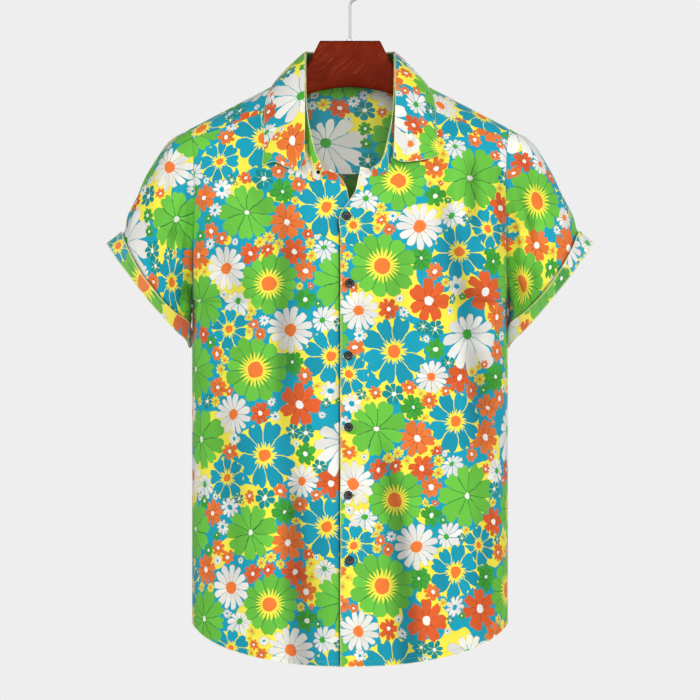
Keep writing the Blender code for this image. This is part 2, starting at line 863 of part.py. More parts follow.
def button_mesh(name, radius):
    """A dished button, turned round its axis, its back at the origin."""
    rim = radius - BUTTON_RIM
    profile = [
        (0.0 if share == 0.0 else rim * share, BUTTON_THICKNESS * height)
        for share, height in BUTTON_DISH
    ]
    profile += [(radius * share, BUTTON_THICKNESS * height) for share, height in BUTTON_SIDE]
    bm = bmesh.new()
    rings = []
    for reach, height in profile:
        if reach == 0.0:
            rings.append([bm.verts.new((0, 0, height))])
            continue
        turns = (2 * math.pi * k / BUTTON_SIDES for k in range(BUTTON_SIDES))
        rings.append(
            [bm.verts.new((reach * math.cos(t), reach * math.sin(t), height)) for t in turns]
        )
    for low, high in zip(rings, rings[1:]):
        for k in range(BUTTON_SIDES):
            after = (k + 1) % BUTTON_SIDES
            ring = [low[k % len(low)], low[after % len(low)]]
            ring += [high[after % len(high)], high[k % len(high)]]
            bm.faces.new(list(dict.fromkeys(ring)))
    bmesh.ops.recalc_face_normals(bm, faces=bm.faces)
    mesh = bpy.data.meshes.new(name)
    bm.to_mesh(mesh)
    bm.free()
    mesh.shade_smooth()
    mesh.set_sharp_from_angle(angle=math.radians(30))
    return mesh


def place_button(name, mesh, plastic, point, out):
    thing = add_object(name, mesh, plastic)
    turn = out.to_track_quat("Z", "Y").to_matrix().to_4x4()
    thing.matrix_world = Matrix.Translation(point) @ turn
    return thing


def make_buttons(plastic):
    mesh = button_mesh("button", BUTTON_RADIUS)
    for number, (x, z) in enumerate(BUTTONS, start=1):
        v = v_at(x, z)
        out = body_normal(x, v, -1)
        point = body_point(x, v, -1) + out * (LAP + SEAM_GAP * 2)
        place_button(f"button_{number}", mesh, plastic, point, out)
    small = button_mesh("stand_button", STAND_BUTTON_RADIUS)
    seam, top = stand_side("right")
    corners = [mirrored(point, -1) for point in (seam[-2], seam[-1], top[-1], top[-2])]
    middle = sum(corners, Vector()) / 4
    out = (corners[1] - corners[3]).cross(corners[0] - corners[2]).normalized()
    if out.y > 0:
        out = -out
    place_button("stand_button", small, plastic, middle + out * STAND_BUTTON_STANDOFF, out)


# Hanger


def ellipse_ring(x, top, bottom, half_depth):
    """A rounded section of the hanger across x."""
    middle, half = (top + bottom) / 2, (top - bottom) / 2
    ring = []
    for k in range(HANGER_SIDES):
        turn = 2 * math.pi * (k + 0.5) / HANGER_SIDES
        y = math.copysign(abs(math.cos(turn)) ** HANGER_SQUARENESS, math.cos(turn))
        z = math.copysign(abs(math.sin(turn)) ** HANGER_SQUARENESS, math.sin(turn))
        ring.append(Vector((x, half_depth * y, middle + half * z)))
    return ring


def arm_section(x):
    """An arm's section under the yoke: its top follows the yoke's underside."""
    share = (x - ARM_STATIONS[0]) / (ARM_END_X - ARM_STATIONS[0])
    half_depth = ARM_HALF_DEPTH + (ARM_END_HALF_DEPTH - ARM_HALF_DEPTH) * share
    height = ARM_HEIGHT + (ARM_END_HEIGHT - ARM_HEIGHT) * share
    cloth = WALL / math.cos(math.atan(SHOULDER_SLOPE))
    top = ridge_z(x) - cloth - ARM_SEAT_GAP
    body_depth = between(BODY_DEPTH, ARMPIT_Z) * oval(x / half_width(1.0))
    ring = []
    for k in range(HANGER_SIDES):
        turn = 2 * math.pi * (k + 0.5) / HANGER_SIDES
        y, z = half_depth * math.cos(turn), top - height / 2 * (1 - math.sin(turn))
        if math.sin(turn) > 0:
            share_y = min(1.0, abs(y) / body_depth)
            drop = (ridge_z(x) - ARMPIT_Z) * (1 - math.sqrt(1 - share_y**2))
            z = min(z, top - drop * ARM_CROWN_DROP)
        ring.append(Vector((x, y, z)))
    return ring


def make_hanger(wood):
    sections = [(x, ellipse_ring(x, top, low, deep)) for x, top, low, deep in HANGER_SECTIONS]
    sections += [(x, arm_section(x)) for x in ARM_STATIONS]
    rings = [[mirrored(point, -1) for point in ring] for x, ring in reversed(sections) if x > 0]
    rings += [ring for _, ring in sections]
    bm = bmesh.new()
    lines = [[bm.verts.new(point) for point in ring] for ring in rings]
    for a, b in zip(lines, lines[1:]):
        for k in range(HANGER_SIDES):
            after = (k + 1) % HANGER_SIDES
            bm.faces.new((a[k], a[after], b[after], b[k]))
    for line in (lines[0], lines[-1]):
        bm.faces.new(line)
    hanger = finish_bmesh("hanger_wood", bm, wood)
    hook_hole = cylinder_cutter(HOOK_WIRE_RADIUS + SEAM_GAP, HANGER_SECTIONS[0][1])
    cut = hanger.modifiers.new("socket", "BOOLEAN")
    cut.operation = "DIFFERENCE"
    cut.object = hook_hole
    cut.solver = "EXACT"
    return hanger


def cylinder_cutter(radius, top_z):
    """The tool that drills the hook's socket, standing clear of the wood's top."""
    length = HOOK_SOCKET_DEPTH + CUTTER_CLEARANCE
    bm = bmesh.new()
    bmesh.ops.create_cone(
        bm, cap_ends=True, segments=ROUND_SIDES, radius1=radius, radius2=radius, depth=length
    )
    mesh = bpy.data.meshes.new("socket_cutter")
    bm.to_mesh(mesh)
    bm.free()
    cutter = bpy.data.objects.new("socket_cutter", mesh)
    bpy.context.scene.collection.objects.link(cutter)
    cutter.location = (0, 0, top_z - HOOK_SOCKET_DEPTH + length / 2)
    cutter.hide_render = True
    cutter.display_type = "WIRE"
    return cutter


def hook_route():
    """The hook's middle line, from its socket up the stem and round the loop to its tip."""
    reach = HOOK_INNER_RADIUS + HOOK_WIRE_RADIUS
    centre = Vector((0, 0, -HOOK_INNER_RADIUS))
    arc = []
    for k in range(HOOK_ARC_STEPS + 1):
        turn = HOOK_FROM_DEGREES + (HOOK_TO_DEGREES - HOOK_FROM_DEGREES) * k / HOOK_ARC_STEPS
        turn = math.radians(turn)
        arc.append(centre + Vector((math.cos(turn), 0, math.sin(turn))) * reach)
    bottom = HANGER_SECTIONS[0][1] - HOOK_SOCKET_DEPTH + SEAM_GAP
    stem_top = Vector((0, 0, HOOK_STEM_TOP_Z))
    start = math.radians(HOOK_FROM_DEGREES)
    way = Vector((-math.sin(start), 0, math.cos(start)))
    bend = []
    for k in range(1, HOOK_BEND_STEPS):
        t = k / HOOK_BEND_STEPS
        bend.append(
            stem_top * (2 * t**3 - 3 * t**2 + 1)
            + Vector((0, 0, HOOK_BEND_PULL)) * (t**3 - 2 * t**2 + t)
            + arc[0] * (-2 * t**3 + 3 * t**2)
            + way * HOOK_BEND_PULL * (t**3 - t**2)
        )
    return [Vector((0, 0, bottom)), stem_top] + bend + arc


def make_hook(steel):
    curve = bpy.data.curves.new("hanger_hook", "CURVE")
    curve.dimensions = "3D"
    curve.bevel_depth = HOOK_WIRE_RADIUS
    curve.bevel_resolution = 2
    curve.use_fill_caps = True
    line = curve.splines.new("POLY")
    route = hook_route()
    line.points.add(len(route) - 1)
    for point, place in zip(line.points, route):
        point.co = (*place, 1.0)
    curve.materials.append(steel)
    hook = bpy.data.objects.new("hanger_hook", curve)
    bpy.context.scene.collection.objects.link(hook)
    return hook


def make_ferrule(steel):
    """A small turned collar round the stem, on top of the wood."""
    bore = HOOK_WIRE_RADIUS + SEAM_GAP
    bottom = HANGER_SECTIONS[0][1] + SEAM_GAP
    profile = (
        (bore, 0.0),
        (FERRULE_RADIUS, 0.0),
        (FERRULE_RADIUS, FERRULE_HEIGHT - FERRULE_CHAMFER),
        (FERRULE_RADIUS - FERRULE_CHAMFER, FERRULE_HEIGHT),
        (bore, FERRULE_HEIGHT),
    )
    bm = bmesh.new()
    rings = []
    for reach, height in profile:
        turns = (2 * math.pi * k / ROUND_SIDES for k in range(ROUND_SIDES))
        ring = [(reach * math.cos(t), reach * math.sin(t), bottom + height) for t in turns]
        rings.append([bm.verts.new(point) for point in ring])
    for low, high in zip(rings, rings[1:] + rings[:1]):
        for k in range(ROUND_SIDES):
            after = (k + 1) % ROUND_SIDES
            bm.faces.new((low[k], low[after], high[after], high[k]))
    return finish_bmesh("hanger_ferrule", bm, steel)


def main():
    for thing in list(bpy.data.objects):
        bpy.data.objects.remove(thing, do_unlink=True)
    cloth = material("printed_cotton", (0.10, 0.45, 0.12), 0.75)
    plastic = material("black_plastic", (0.01, 0.01, 0.012), 0.18)
    wood = material("mahogany", (0.17, 0.013, 0.007), 0.22)
    steel = material("polished_steel", (0.75, 0.75, 0.76), 0.15, 1.0)
    make_fronts(cloth)
    make_back(cloth)
    make_yoke(cloth)
    for name, sign in (("left", 1), ("right", -1)):
        make_sleeve(f"sleeve_{name}", sign, cloth)
        make_cuff(f"cuff_{name}", sign, cloth)
    make_stand(cloth)
    make_leaf(cloth)
    make_buttons(plastic)
    make_hanger(wood)
    make_ferrule(steel)
    make_hook(steel)


main()
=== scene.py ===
"""The looks of a hawaiian shirt on a wooden hanger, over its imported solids.

Metres, +Z up, the shirt's front towards -Y, its wearer's left at +X. The cloth repeats the solids'
form as finer, thinner shells with soft creases. The flower print is drawn by nodes in cloth
coordinates, metres along the grain of each cut piece.
"""

import math

import bmesh
import bpy
import numpy as np
from mathutils import Matrix, Vector

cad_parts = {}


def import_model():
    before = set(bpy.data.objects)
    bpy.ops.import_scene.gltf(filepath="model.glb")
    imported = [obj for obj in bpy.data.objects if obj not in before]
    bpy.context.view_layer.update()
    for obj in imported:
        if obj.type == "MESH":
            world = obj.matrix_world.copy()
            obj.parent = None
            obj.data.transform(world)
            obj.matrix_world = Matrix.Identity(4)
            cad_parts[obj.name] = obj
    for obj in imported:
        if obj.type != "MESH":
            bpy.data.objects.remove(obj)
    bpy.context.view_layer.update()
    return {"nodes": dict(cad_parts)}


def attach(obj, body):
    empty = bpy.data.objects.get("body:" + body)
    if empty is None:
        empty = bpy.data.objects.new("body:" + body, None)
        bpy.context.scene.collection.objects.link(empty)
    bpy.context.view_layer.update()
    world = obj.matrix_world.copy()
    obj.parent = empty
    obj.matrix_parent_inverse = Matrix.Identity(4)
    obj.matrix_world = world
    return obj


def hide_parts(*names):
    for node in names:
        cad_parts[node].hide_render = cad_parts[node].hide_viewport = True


# The cloth's form, as in the solids

SOLID_WALL = 0.0015
LAP = 0.0020
CUFF_LAP = 0.0019
SHOULDER_Z = -0.1024
SHOULDER_SLOPE = 0.5265
SHOULDER_ROUND = 0.020
ARMPIT_Z = -0.415
HEM_Z = -0.869
HEM_SIDE_RISE = 0.0375
HEM_SIDE_POWER = 2.2
HEM_CORNER_RISE = 0.015
HEM_CORNER_POWER = 12
HALF_WIDTH = 0.1975
OVAL_POWER = 2.3
ARMHOLE_HALF_DEPTH = 0.057
BODY_DEPTH = (
    # height, half depth at the middle
    (HEM_Z, 0.121),
    (-0.800, 0.118),
    (-0.600, 0.114),
    (ARMPIT_Z, 0.118),
)
ARMHOLE_LINE = (
    # share of the way round from armpit to ridge, half width there
    (0.00, HALF_WIDTH),
    (0.15, 0.1962),
    (0.40, 0.1948),
    (0.70, 0.1962),
    (0.90, 0.1988),
    (1.00, 0.2005),
)
NECK_SHARE = 0.35
BACK_NECK_DEPTH = 0.054
YOKE_BACK_Z = -0.253
YOKE_FRONT_DROP = 0.0142
YOKE_FRONT_FLARE = 0.166
YOKE_FRONT_END_X = 0.194
FRONT_TOP_Z = -0.2525
FRONT_NECKLINE = (
    # share of half width, height
    (0.00, FRONT_TOP_Z),
    (0.20, FRONT_TOP_Z),
    (0.24, -0.2495),
    (0.27, -0.2310),
    (0.30, -0.2040),
    (0.325, -0.1840),
    (0.35, -0.1645),
)
LAP_BLEND = (0.024, 0.040)
PLACKET_SHADE = 0.75
LEFT_EDGE = (
    # height, x of the left front's edge
    (-0.335, -0.0118),
    (-0.308, -0.0120),
    (-0.294, -0.0015),
    (-0.285, 0.0050),
    (-0.265, 0.0105),
    (FRONT_TOP_Z, 0.0131),
)
RIGHT_EDGE = (
    # height, x of the right front's edge
    (-0.335, 0.0120),
    (-0.308, 0.0060),
    (-0.291, -0.0012),
    (-0.276, -0.0050),
    (-0.262, -0.0138),
    (FRONT_TOP_Z, -0.0238),
)
FOLDS = (
    # side, top x and z, low x and z, half width, depth, run in
    (-1, 0.045, -0.570, 0.080, -0.880, 0.017, -0.0060, 0.35),
    (-1, 0.075, -0.585, 0.112, -0.880, 0.019, 0.0040, 0.35),
    (-1, -0.072, -0.590, -0.060, -0.880, 0.016, -0.0050, 0.35),
    (-1, -0.110, -0.560, -0.098, -0.880, 0.020, 0.0040, 0.35),
    (1, 0.070, -0.400, 0.090, -0.880, 0.020, -0.0060, 0.35),
    (1, 0.035, -0.480, 0.040, -0.880, 0.018, 0.0040, 0.35),
    (1, -0.066, -0.380, -0.082, -0.880, 0.020, -0.0060, 0.35),
    (1, -0.118, -0.500, -0.130, -0.880, 0.020, 0.0040, 0.35),
)
FOLD_DEPTH = 1.6
FOLD_WIDTH = (0.60, 1.20)
CREASE_DEPTH = 1.9
CREASE_RUNS = (0.35, 0.45)
CREASE_SKEW = (0.80, 1.35)
FULL_SHADE_DEPTH = 0.0085
SLEEVE_SHADE_DEPTH = 0.0100
FOLD_SHADE = 0.46
CREASES = (
    # side, from x and z, to x and z, bow, half width, depth
    (-1, 0.100, -0.210, 0.180, -0.660, -0.004, 0.013, -0.0040),
    (-1, 0.146, -0.205, 0.158, -0.365, 0.000, 0.008, -0.0034),
    (-1, 0.186, -0.220, 0.189, -0.400, 0.000, 0.006, -0.0028),
    (-1, 0.130, -0.205, 0.134, -0.345, 0.000, 0.008, 0.0026),
    (-1, 0.167, -0.220, 0.172, -0.370, 0.000, 0.008, 0.0024),
    (-1, -0.074, -0.240, -0.072, -0.740, 0.012, 0.013, -0.0032),
    (-1, 0.028, -0.560, 0.046, -0.700, -0.006, 0.008, -0.0014),
    (-1, -0.044, -0.640, -0.040, -0.900, 0.000, 0.014, -0.0018),
    (-1, -0.086, -0.660, -0.078, -0.900, 0.000, 0.013, -0.0018),
    (-1, 0.186, -0.430, 0.128, -0.395, 0.004, 0.008, -0.0007),
    (-1, 0.188, -0.455, 0.120, -0.470, -0.004, 0.009, 0.0013),
    (-1, 0.168, -0.470, 0.150, -0.690, 0.006, 0.013, -0.0022),
    (-1, 0.140, -0.500, 0.135, -0.760, -0.005, 0.012, 0.0016),
    (-1, 0.020, -0.330, 0.030, -0.560, 0.004, 0.011, 0.0010),
    (-1, 0.060, -0.330, 0.052, -0.520, 0.005, 0.012, -0.0012),
    (-1, -0.012, -0.391, 0.040, -0.405, 0.003, 0.006, -0.0006),
    (-1, -0.012, -0.571, -0.070, -0.590, 0.003, 0.006, -0.0008),
    (-1, -0.012, -0.656, 0.045, -0.676, -0.003, 0.007, 0.0008),
    (-1, -0.148, -0.230, -0.080, -0.400, -0.010, 0.012, -0.0015),
    (-1, -0.176, -0.310, -0.130, -0.460, -0.006, 0.010, -0.0019),
    (-1, -0.187, -0.425, -0.115, -0.400, -0.004, 0.008, -0.0006),
    (-1, -0.186, -0.455, -0.140, -0.500, 0.005, 0.009, 0.0012),
    (-1, -0.165, -0.480, -0.158, -0.720, -0.005, 0.013, -0.0021),
    (-1, -0.040, -0.420, -0.046, -0.640, 0.004, 0.012, 0.0012),
    (-1, -0.092, -0.380, -0.084, -0.560, -0.004, 0.012, -0.0012),
    (-1, -0.135, -0.560, -0.140, -0.840, 0.005, 0.012, -0.0018),
    (-1, 0.160, -0.620, 0.166, -0.880, -0.004, 0.012, -0.0020),
    (1, 0.168, -0.300, 0.110, -0.450, 0.010, 0.012, -0.0022),
    (1, 0.185, -0.430, 0.118, -0.410, 0.005, 0.008, -0.0016),
    (1, 0.150, -0.440, 0.146, -0.740, -0.006, 0.013, -0.0022),
    (1, 0.120, -0.260, 0.128, -0.420, 0.004, 0.012, 0.0014),
    (1, 0.010, -0.262, 0.004, -0.520, 0.005, 0.013, -0.0022),
    (1, -0.020, -0.262, -0.030, -0.450, -0.004, 0.011, 0.0016),
    (1, -0.150, -0.290, -0.100, -0.430, -0.010, 0.012, -0.0021),
    (1, -0.186, -0.440, -0.124, -0.430, -0.004, 0.008, -0.0015),
    (1, -0.160, -0.470, -0.164, -0.800, 0.006, 0.013, -0.0023),
    (1, 0.110, -0.620, 0.124, -0.880, 0.005, 0.012, 0.0020),
    (1, -0.010, -0.600, -0.016, -0.880, 0.004, 0.014, -0.0026),
)
SWELLS = (
    # waves per metre across and up, phase, height
    (9.0, 3.0, 0.4, 0.00055),
    (4.0, 7.0, 2.1, 0.00060),
    (17.0, -8.0, 1.3, 0.00030),
    (-13.0, 12.0, 4.2, 0.00028),
    (31.0, 9.0, 5.5, 0.00012),
)

SLEEVE_SECTIONS = (
    # share of the length, top x and z, low x and z, half depth, droop of the front and back
    (0.00, 0.2008, -0.1985, 0.1977, -0.4150, 0.0570, 0.000),
    (0.16, 0.2278, -0.2150, 0.1978, -0.4180, 0.0590, 0.000),
    (0.34, 0.2492, -0.2480, 0.1978, -0.4230, 0.0600, 0.001),
    (0.54, 0.2648, -0.2790, 0.1979, -0.4300, 0.0590, 0.003),
    (0.76, 0.2788, -0.3092, 0.1980, -0.4380, 0.0560, 0.007),
    (0.87, 0.2845, -0.3275, 0.1982, -0.4440, 0.0530, 0.010),
    (0.93, 0.2940, -0.3345, 0.1984, -0.4570, 0.0480, 0.006),
    (1.00, 0.3045, -0.3415, 0.1986, -0.4715, 0.0420, 0.0025),
)
CUFF_FROM = 0.87
CUFF_NARROWING = 0.075
CUFF_FLARE = 0.0011
ARMHOLE_GAP = 0.0001
ARMHOLE_FADE = 0.6
ARMHOLE_MATCH_Z = -0.300
UNDERARM_BULGE = 0.0024
UNDERARM_BULGE_TURN = 0.5
UNDERARM_BULGE_WIDTH = 0.24
BESIDE_BODY_X = 0.1984
BESIDE_BODY_Z = -0.400
BESIDE_SHADE = (0.0013, 0.17)
BESIDE_FADE = (0.004, 0.020)
CUFF_SHADE = (0.0015, 0.24)
CUFF_EDGE_NEARNESS = 0.55
SLEEVE_CREASE_RUNS = (0.40, 0.40)
SLEEVE_CREASES = (
    # from turn and share, to turn and share, half width in turns, depth; turn 0.25 is the front
    (0.41, 0.02, 0.35, 0.80, 0.022, -0.0052),
    (0.46, 0.05, 0.43, 0.90, 0.016, -0.0044),
    (0.36, 0.05, 0.26, 0.62, 0.018, 0.0030),
    (0.31, 0.02, 0.20, 0.46, 0.016, -0.0026),
    (0.12, 0.02, 0.17, 0.50, 0.018, -0.0024),
    (0.20, 0.02, 0.28, 0.52, 0.016, -0.0034),
    (0.24, 0.02, 0.33, 0.40, 0.012, 0.0020),
    (0.30, 0.45, 0.31, 0.88, 0.014, -0.0026),
    (0.59, 0.02, 0.66, 0.80, 0.022, -0.0050),
    (0.54, 0.05, 0.57, 0.90, 0.016, -0.0040),
    (0.66, 0.05, 0.76, 0.60, 0.018, 0.0030),
    (0.70, 0.02, 0.80, 0.46, 0.016, -0.0024),
    (0.88, 0.02, 0.84, 0.55, 0.018, -0.0020),
)

STAND_BACK = (
    # x and y of the stand's top edge round the back, up to the shoulder
    (0.0000, 0.0480),
    (0.0165, 0.0462),
    (0.0315, 0.0405),
    (0.0430, 0.0310),
    (0.0505, 0.0205),
    (0.0545, 0.0100),
)
STAND_TOP_Z = -0.1020
STAND_TOP_FRONT = (
    # x, y and height of the stand's top edge from the ridge on
    (0.0553, -0.0030, -0.1035),
    (0.0557, -0.0330, -0.1135),
    (0.0556, -0.0630, -0.1400),
    (0.0548, -0.0830, -0.1650),
    (0.0525, -0.0960, -0.1880),
    (0.0475, -0.1045, -0.2120),
    (0.0432, -0.1085, -0.2285),
)
STAND_TOP_END = {
    "left": ((0.0380, -0.1100, -0.2390), (0.0268, -0.1100, -0.2475)),
    "right": ((0.0375, -0.1105, -0.2400), (0.0335, -0.1105, -0.2480)),
}
STAND_SEAM_END = {
    # the loose end's lower edge: x, height and distance off the body
    "left": ((0.0390, -0.2545, 0.0034), (0.0270, -0.2570, 0.0040)),
    "right": ((0.0450, -0.2590, 0.0036), (0.0375, -0.2620, 0.0036)),
}
NECK_STATIONS = (0.0, 0.10, 0.19, 0.26, 0.31, 0.338)
FRONT_STATIONS = (0.325, 0.30, 0.27, 0.24)
STAND_OVERLAP = 0.0016
STAND_BULGE = 0.0010
STAND_SEAM_LIFT = 0.0009
STAND_INSIDE_SHADE = (0.0004, 0.0030)
STAND_SHADE_Y = (0.026, 0.030)
LEAF_BACK = (
    # x and y of the leaf's edge round the back, up to the shoulder
    (0.0000, 0.0720),
    (0.0220, 0.0705),
    (0.0430, 0.0650),
    (0.0610, 0.0540),
    (0.0740, 0.0400),
    (0.0830, 0.0230),
)
LEAF_FRONT = {
    # the fold's x, y and height, then the edge's x and height, from the ridge on
    "left": (
        (0.0556, -0.0030, -0.1030, 0.0915, -0.1400),
        (0.0562, -0.0330, -0.1128, 0.0975, -0.1490),
        (0.0562, -0.0640, -0.1400, 0.1035, -0.1640),
        (0.0560, -0.0880, -0.1680, 0.1065, -0.1930),
        (0.0553, -0.1000, -0.1990, 0.1085, -0.2180),
        (0.0540, -0.1020, -0.2350, 0.1090, -0.2330),
    ),
    "right": (
        (0.0556, -0.0030, -0.1030, 0.0915, -0.1400),
        (0.0562, -0.0330, -0.1128, 0.0980, -0.1500),
        (0.0562, -0.0640, -0.1400, 0.1045, -0.1670),
        (0.0560, -0.0880, -0.1680, 0.1068, -0.1960),
        (0.0560, -0.1000, -0.1980, 0.1062, -0.2190),
        (0.0563, -0.1010, -0.2305, 0.1088, -0.2450),
    ),
}
LEAF_SAG = {
    # share of the way from the fold to the edge, drop of the leaf's front end
    "left": ((0.0, 0.0), (0.10, 0.004), (0.5, 0.0065), (0.85, 0.003), (1.0, 0.0)),
    "right": ((0.0, 0.0), (0.08, 0.013), (0.38, 0.0125), (0.71, 0.001), (1.0, 0.0)),
}
LEAF_CLEARANCE = 0.0016
LEAF_LIFT = 0.0045
LEAF_OVER_STAND = 0.0003
LEAF_RIPPLE = {"left": 0.6, "right": 0.9}
LEAF_SHADE_OFFSET = 0.0006
LEAF_REACH_X = 0.13
LEAF_SPOT_STEP = 0.0006
CURL_WIDTH = 0.004
BACK_INSIDE_SHADE = (0.00125, 0.004)

# What a mark measures: metres from a turned hem, a seam, any folded edge, and a covering edge,
# and how little of a fold there is. The last two set painted shadow and painted shade in folds
MARKS = ("hem", "seam", "edge", "shadow_distance", "fold")
FAR = 1.0  # further off than any mark reaches

# Finer grids

CLOTH = 0.0007
DOUBLE_CLOTH = 0.0012
GRID_STEP = 0.0036
OUTER_SPREAD = 1.35
LOW_ROWS = 126
UPPER_ROWS = 72
BACK_ROWS = 44
YOKE_ROWS = (40, 14)
EDGE_COLUMNS = 16
CURVE_STEPS = 8
STAND_ROWS = 10
LEAF_ROWS = 18
SLEEVE_TURNS = 120
HALF_TURNS = SLEEVE_TURNS // 2
TURNS = np.arange(SLEEVE_TURNS) / SLEEVE_TURNS
FROM_UNDERSIDE = np.minimum(TURNS, 1 - TURNS)
SLEEVE_ROWS = 60
CUFF_ROWS = 12

# Buttons and buttonholes, in metres. A cord and bars of thread bind a buttonhole's edge

BUTTON_RADIUS = 0.0056
STAND_BUTTON_RADIUS = 0.0024
BUTTON_THICKNESS = 0.0024
BUTTON_LIFT = 0.0007
STAND_BUTTON_LIFT = 0.0016
# the painted highlight ring on each button
RING_HIGHLIGHT = (0.0001, 0.0004, 0.55)  # start, end and strength
THREAD_RADIUS = 0.00022
THREAD_LIFT = 0.00040
THREAD_DIP = 0.0012
BUTTONHOLE_LENGTH = 0.0140
BUTTONHOLE_WIDTH = 0.0022
BUTTONHOLE_LIFT = 0.0003
CORD_RADIUS = 0.00045
BAR_PITCH = 0.0006
BAR_START = 0.0003
BAR_OVERHANG = 0.0004
BAR_RISE = 0.0004
BAR_RADIUS = 0.00024
SLIT_LIFT = 0.0002
SLIT_RADIUS = 0.00030
BUTTONS = (
    # x and height on the front, and how far the buttonhole is drawn past the button
    (-0.0045, -0.3075, 0.0010),
    (-0.0005, -0.3908, 0.0048),
    (-0.0022, -0.4811, 0.0014),
    (-0.0018, -0.5701, 0.0010),
    (-0.0018, -0.6555, 0.0012),
    (-0.0006, -0.7364, 0.0010),
)

# Shares of a button's radius, of its thickness, of the way from its middle to a hole, and of a
# tube's radius at its ends

DISH_RADIUS = 0.78
RING_HIGHLIGHT_RADIUS = 0.68
HOLE_REACH = 0.27
HOLE_RADIUS = 0.11
DISH_HEIGHT = 0.60
THREAD_BEND = 0.85
THREAD_END = 1.15
TUBE_END = 0.35

# Stitches, in metres

STITCH_PITCH = 0.0030
STITCH_LENGTH = 0.0022
STITCH_RADIUS = 0.00016
STITCH_RISE = (-0.0001, 0.00012, 0.00012, -0.0001)
STITCH_OFF_LINING = 0.0001
HEM_STITCHES = 0.0062
STITCH_ROWS = (
    # cloth piece, up or across it, metres from its start or its end, first and last point sewn
    ("cloth_front_left", "up", HEM_STITCHES, 0, None),
    ("cloth_front_left", "across", 0.0022, 0, None),
    ("cloth_front_left", "up", -0.0030, EDGE_COLUMNS + 12, -1),
    ("cloth_front_left", "across", 0.0290, 0, None),
    ("cloth_front_right", "up", HEM_STITCHES, 0, None),
    ("cloth_front_right", "across", 0.0022, 0, None),
    ("cloth_front_right", "up", -0.0030, EDGE_COLUMNS + 12, -1),
    ("cloth_back", "up", HEM_STITCHES, 0, None),
    ("cloth_back", "up", -0.0020, 0, None),
    ("cloth_yoke", "up", 0.0018, 0, None),
    ("cloth_yoke", "up", 0.0058, 0, None),
    ("cloth_sleeve_left", "up", 0.0060, 0, None),
    ("cloth_cuff_left", "up", -0.0020, 0, None),
    ("cloth_sleeve_right", "up", 0.0060, 0, None),
    ("cloth_cuff_right", "up", -0.0020, 0, None),
    ("cloth_leaf", "up", -0.0050, 3, -3),
    ("cloth_leaf", "across", 0.0050, 0, -2),
    ("cloth_leaf", "across", -0.0050, 0, -2),
    ("cloth_stand", "up", 0.0030, 0, None),
)

# Hanger

HANGER_SECTIONS = (
    # x, top height, bottom height, half depth
    (0.0000, -0.0872, -0.1455, 0.0115),
    (0.0180, -0.0872, -0.1465, 0.0115),
    (0.0372, -0.0872, -0.1496, 0.0115),
    (0.0384, -0.0886, -0.1500, 0.0115),
    (0.0478, -0.1075, -0.1525, 0.0113),
    (0.0562, -0.1198, -0.1555, 0.0112),
    (0.0650, -0.1330, -0.1600, 0.0111),
    (0.0780, -0.1483, -0.1813, 0.0110),
    (0.1900, -0.2071, -0.2291, 0.0125),
)
HANGER_ARM_X = 0.078
HANGER_TIP_X = 0.1900
HANGER_ARM_HEIGHT = 0.033
HANGER_ARM_TAPER = 0.011
HANGER_ROUNDING = (0.060, 0.020)
HANGER_TIP_ROUND = (0.181, 0.0091)
HANGER_TIP_END = 0.35
HANGER_CORNERS = (0.34, 0.40)
HANGER_CROWN = 0.0022
HANGER_CLEARANCE = 0.0006
# how far down from the top the painted shade reaches
HANGER_TOP_SHADE = 0.0011
HANGER_SIDES = 48
GRAIN_MIDDLE = (-0.075, -0.030)

# The print: colours in sRGB, lengths in metres

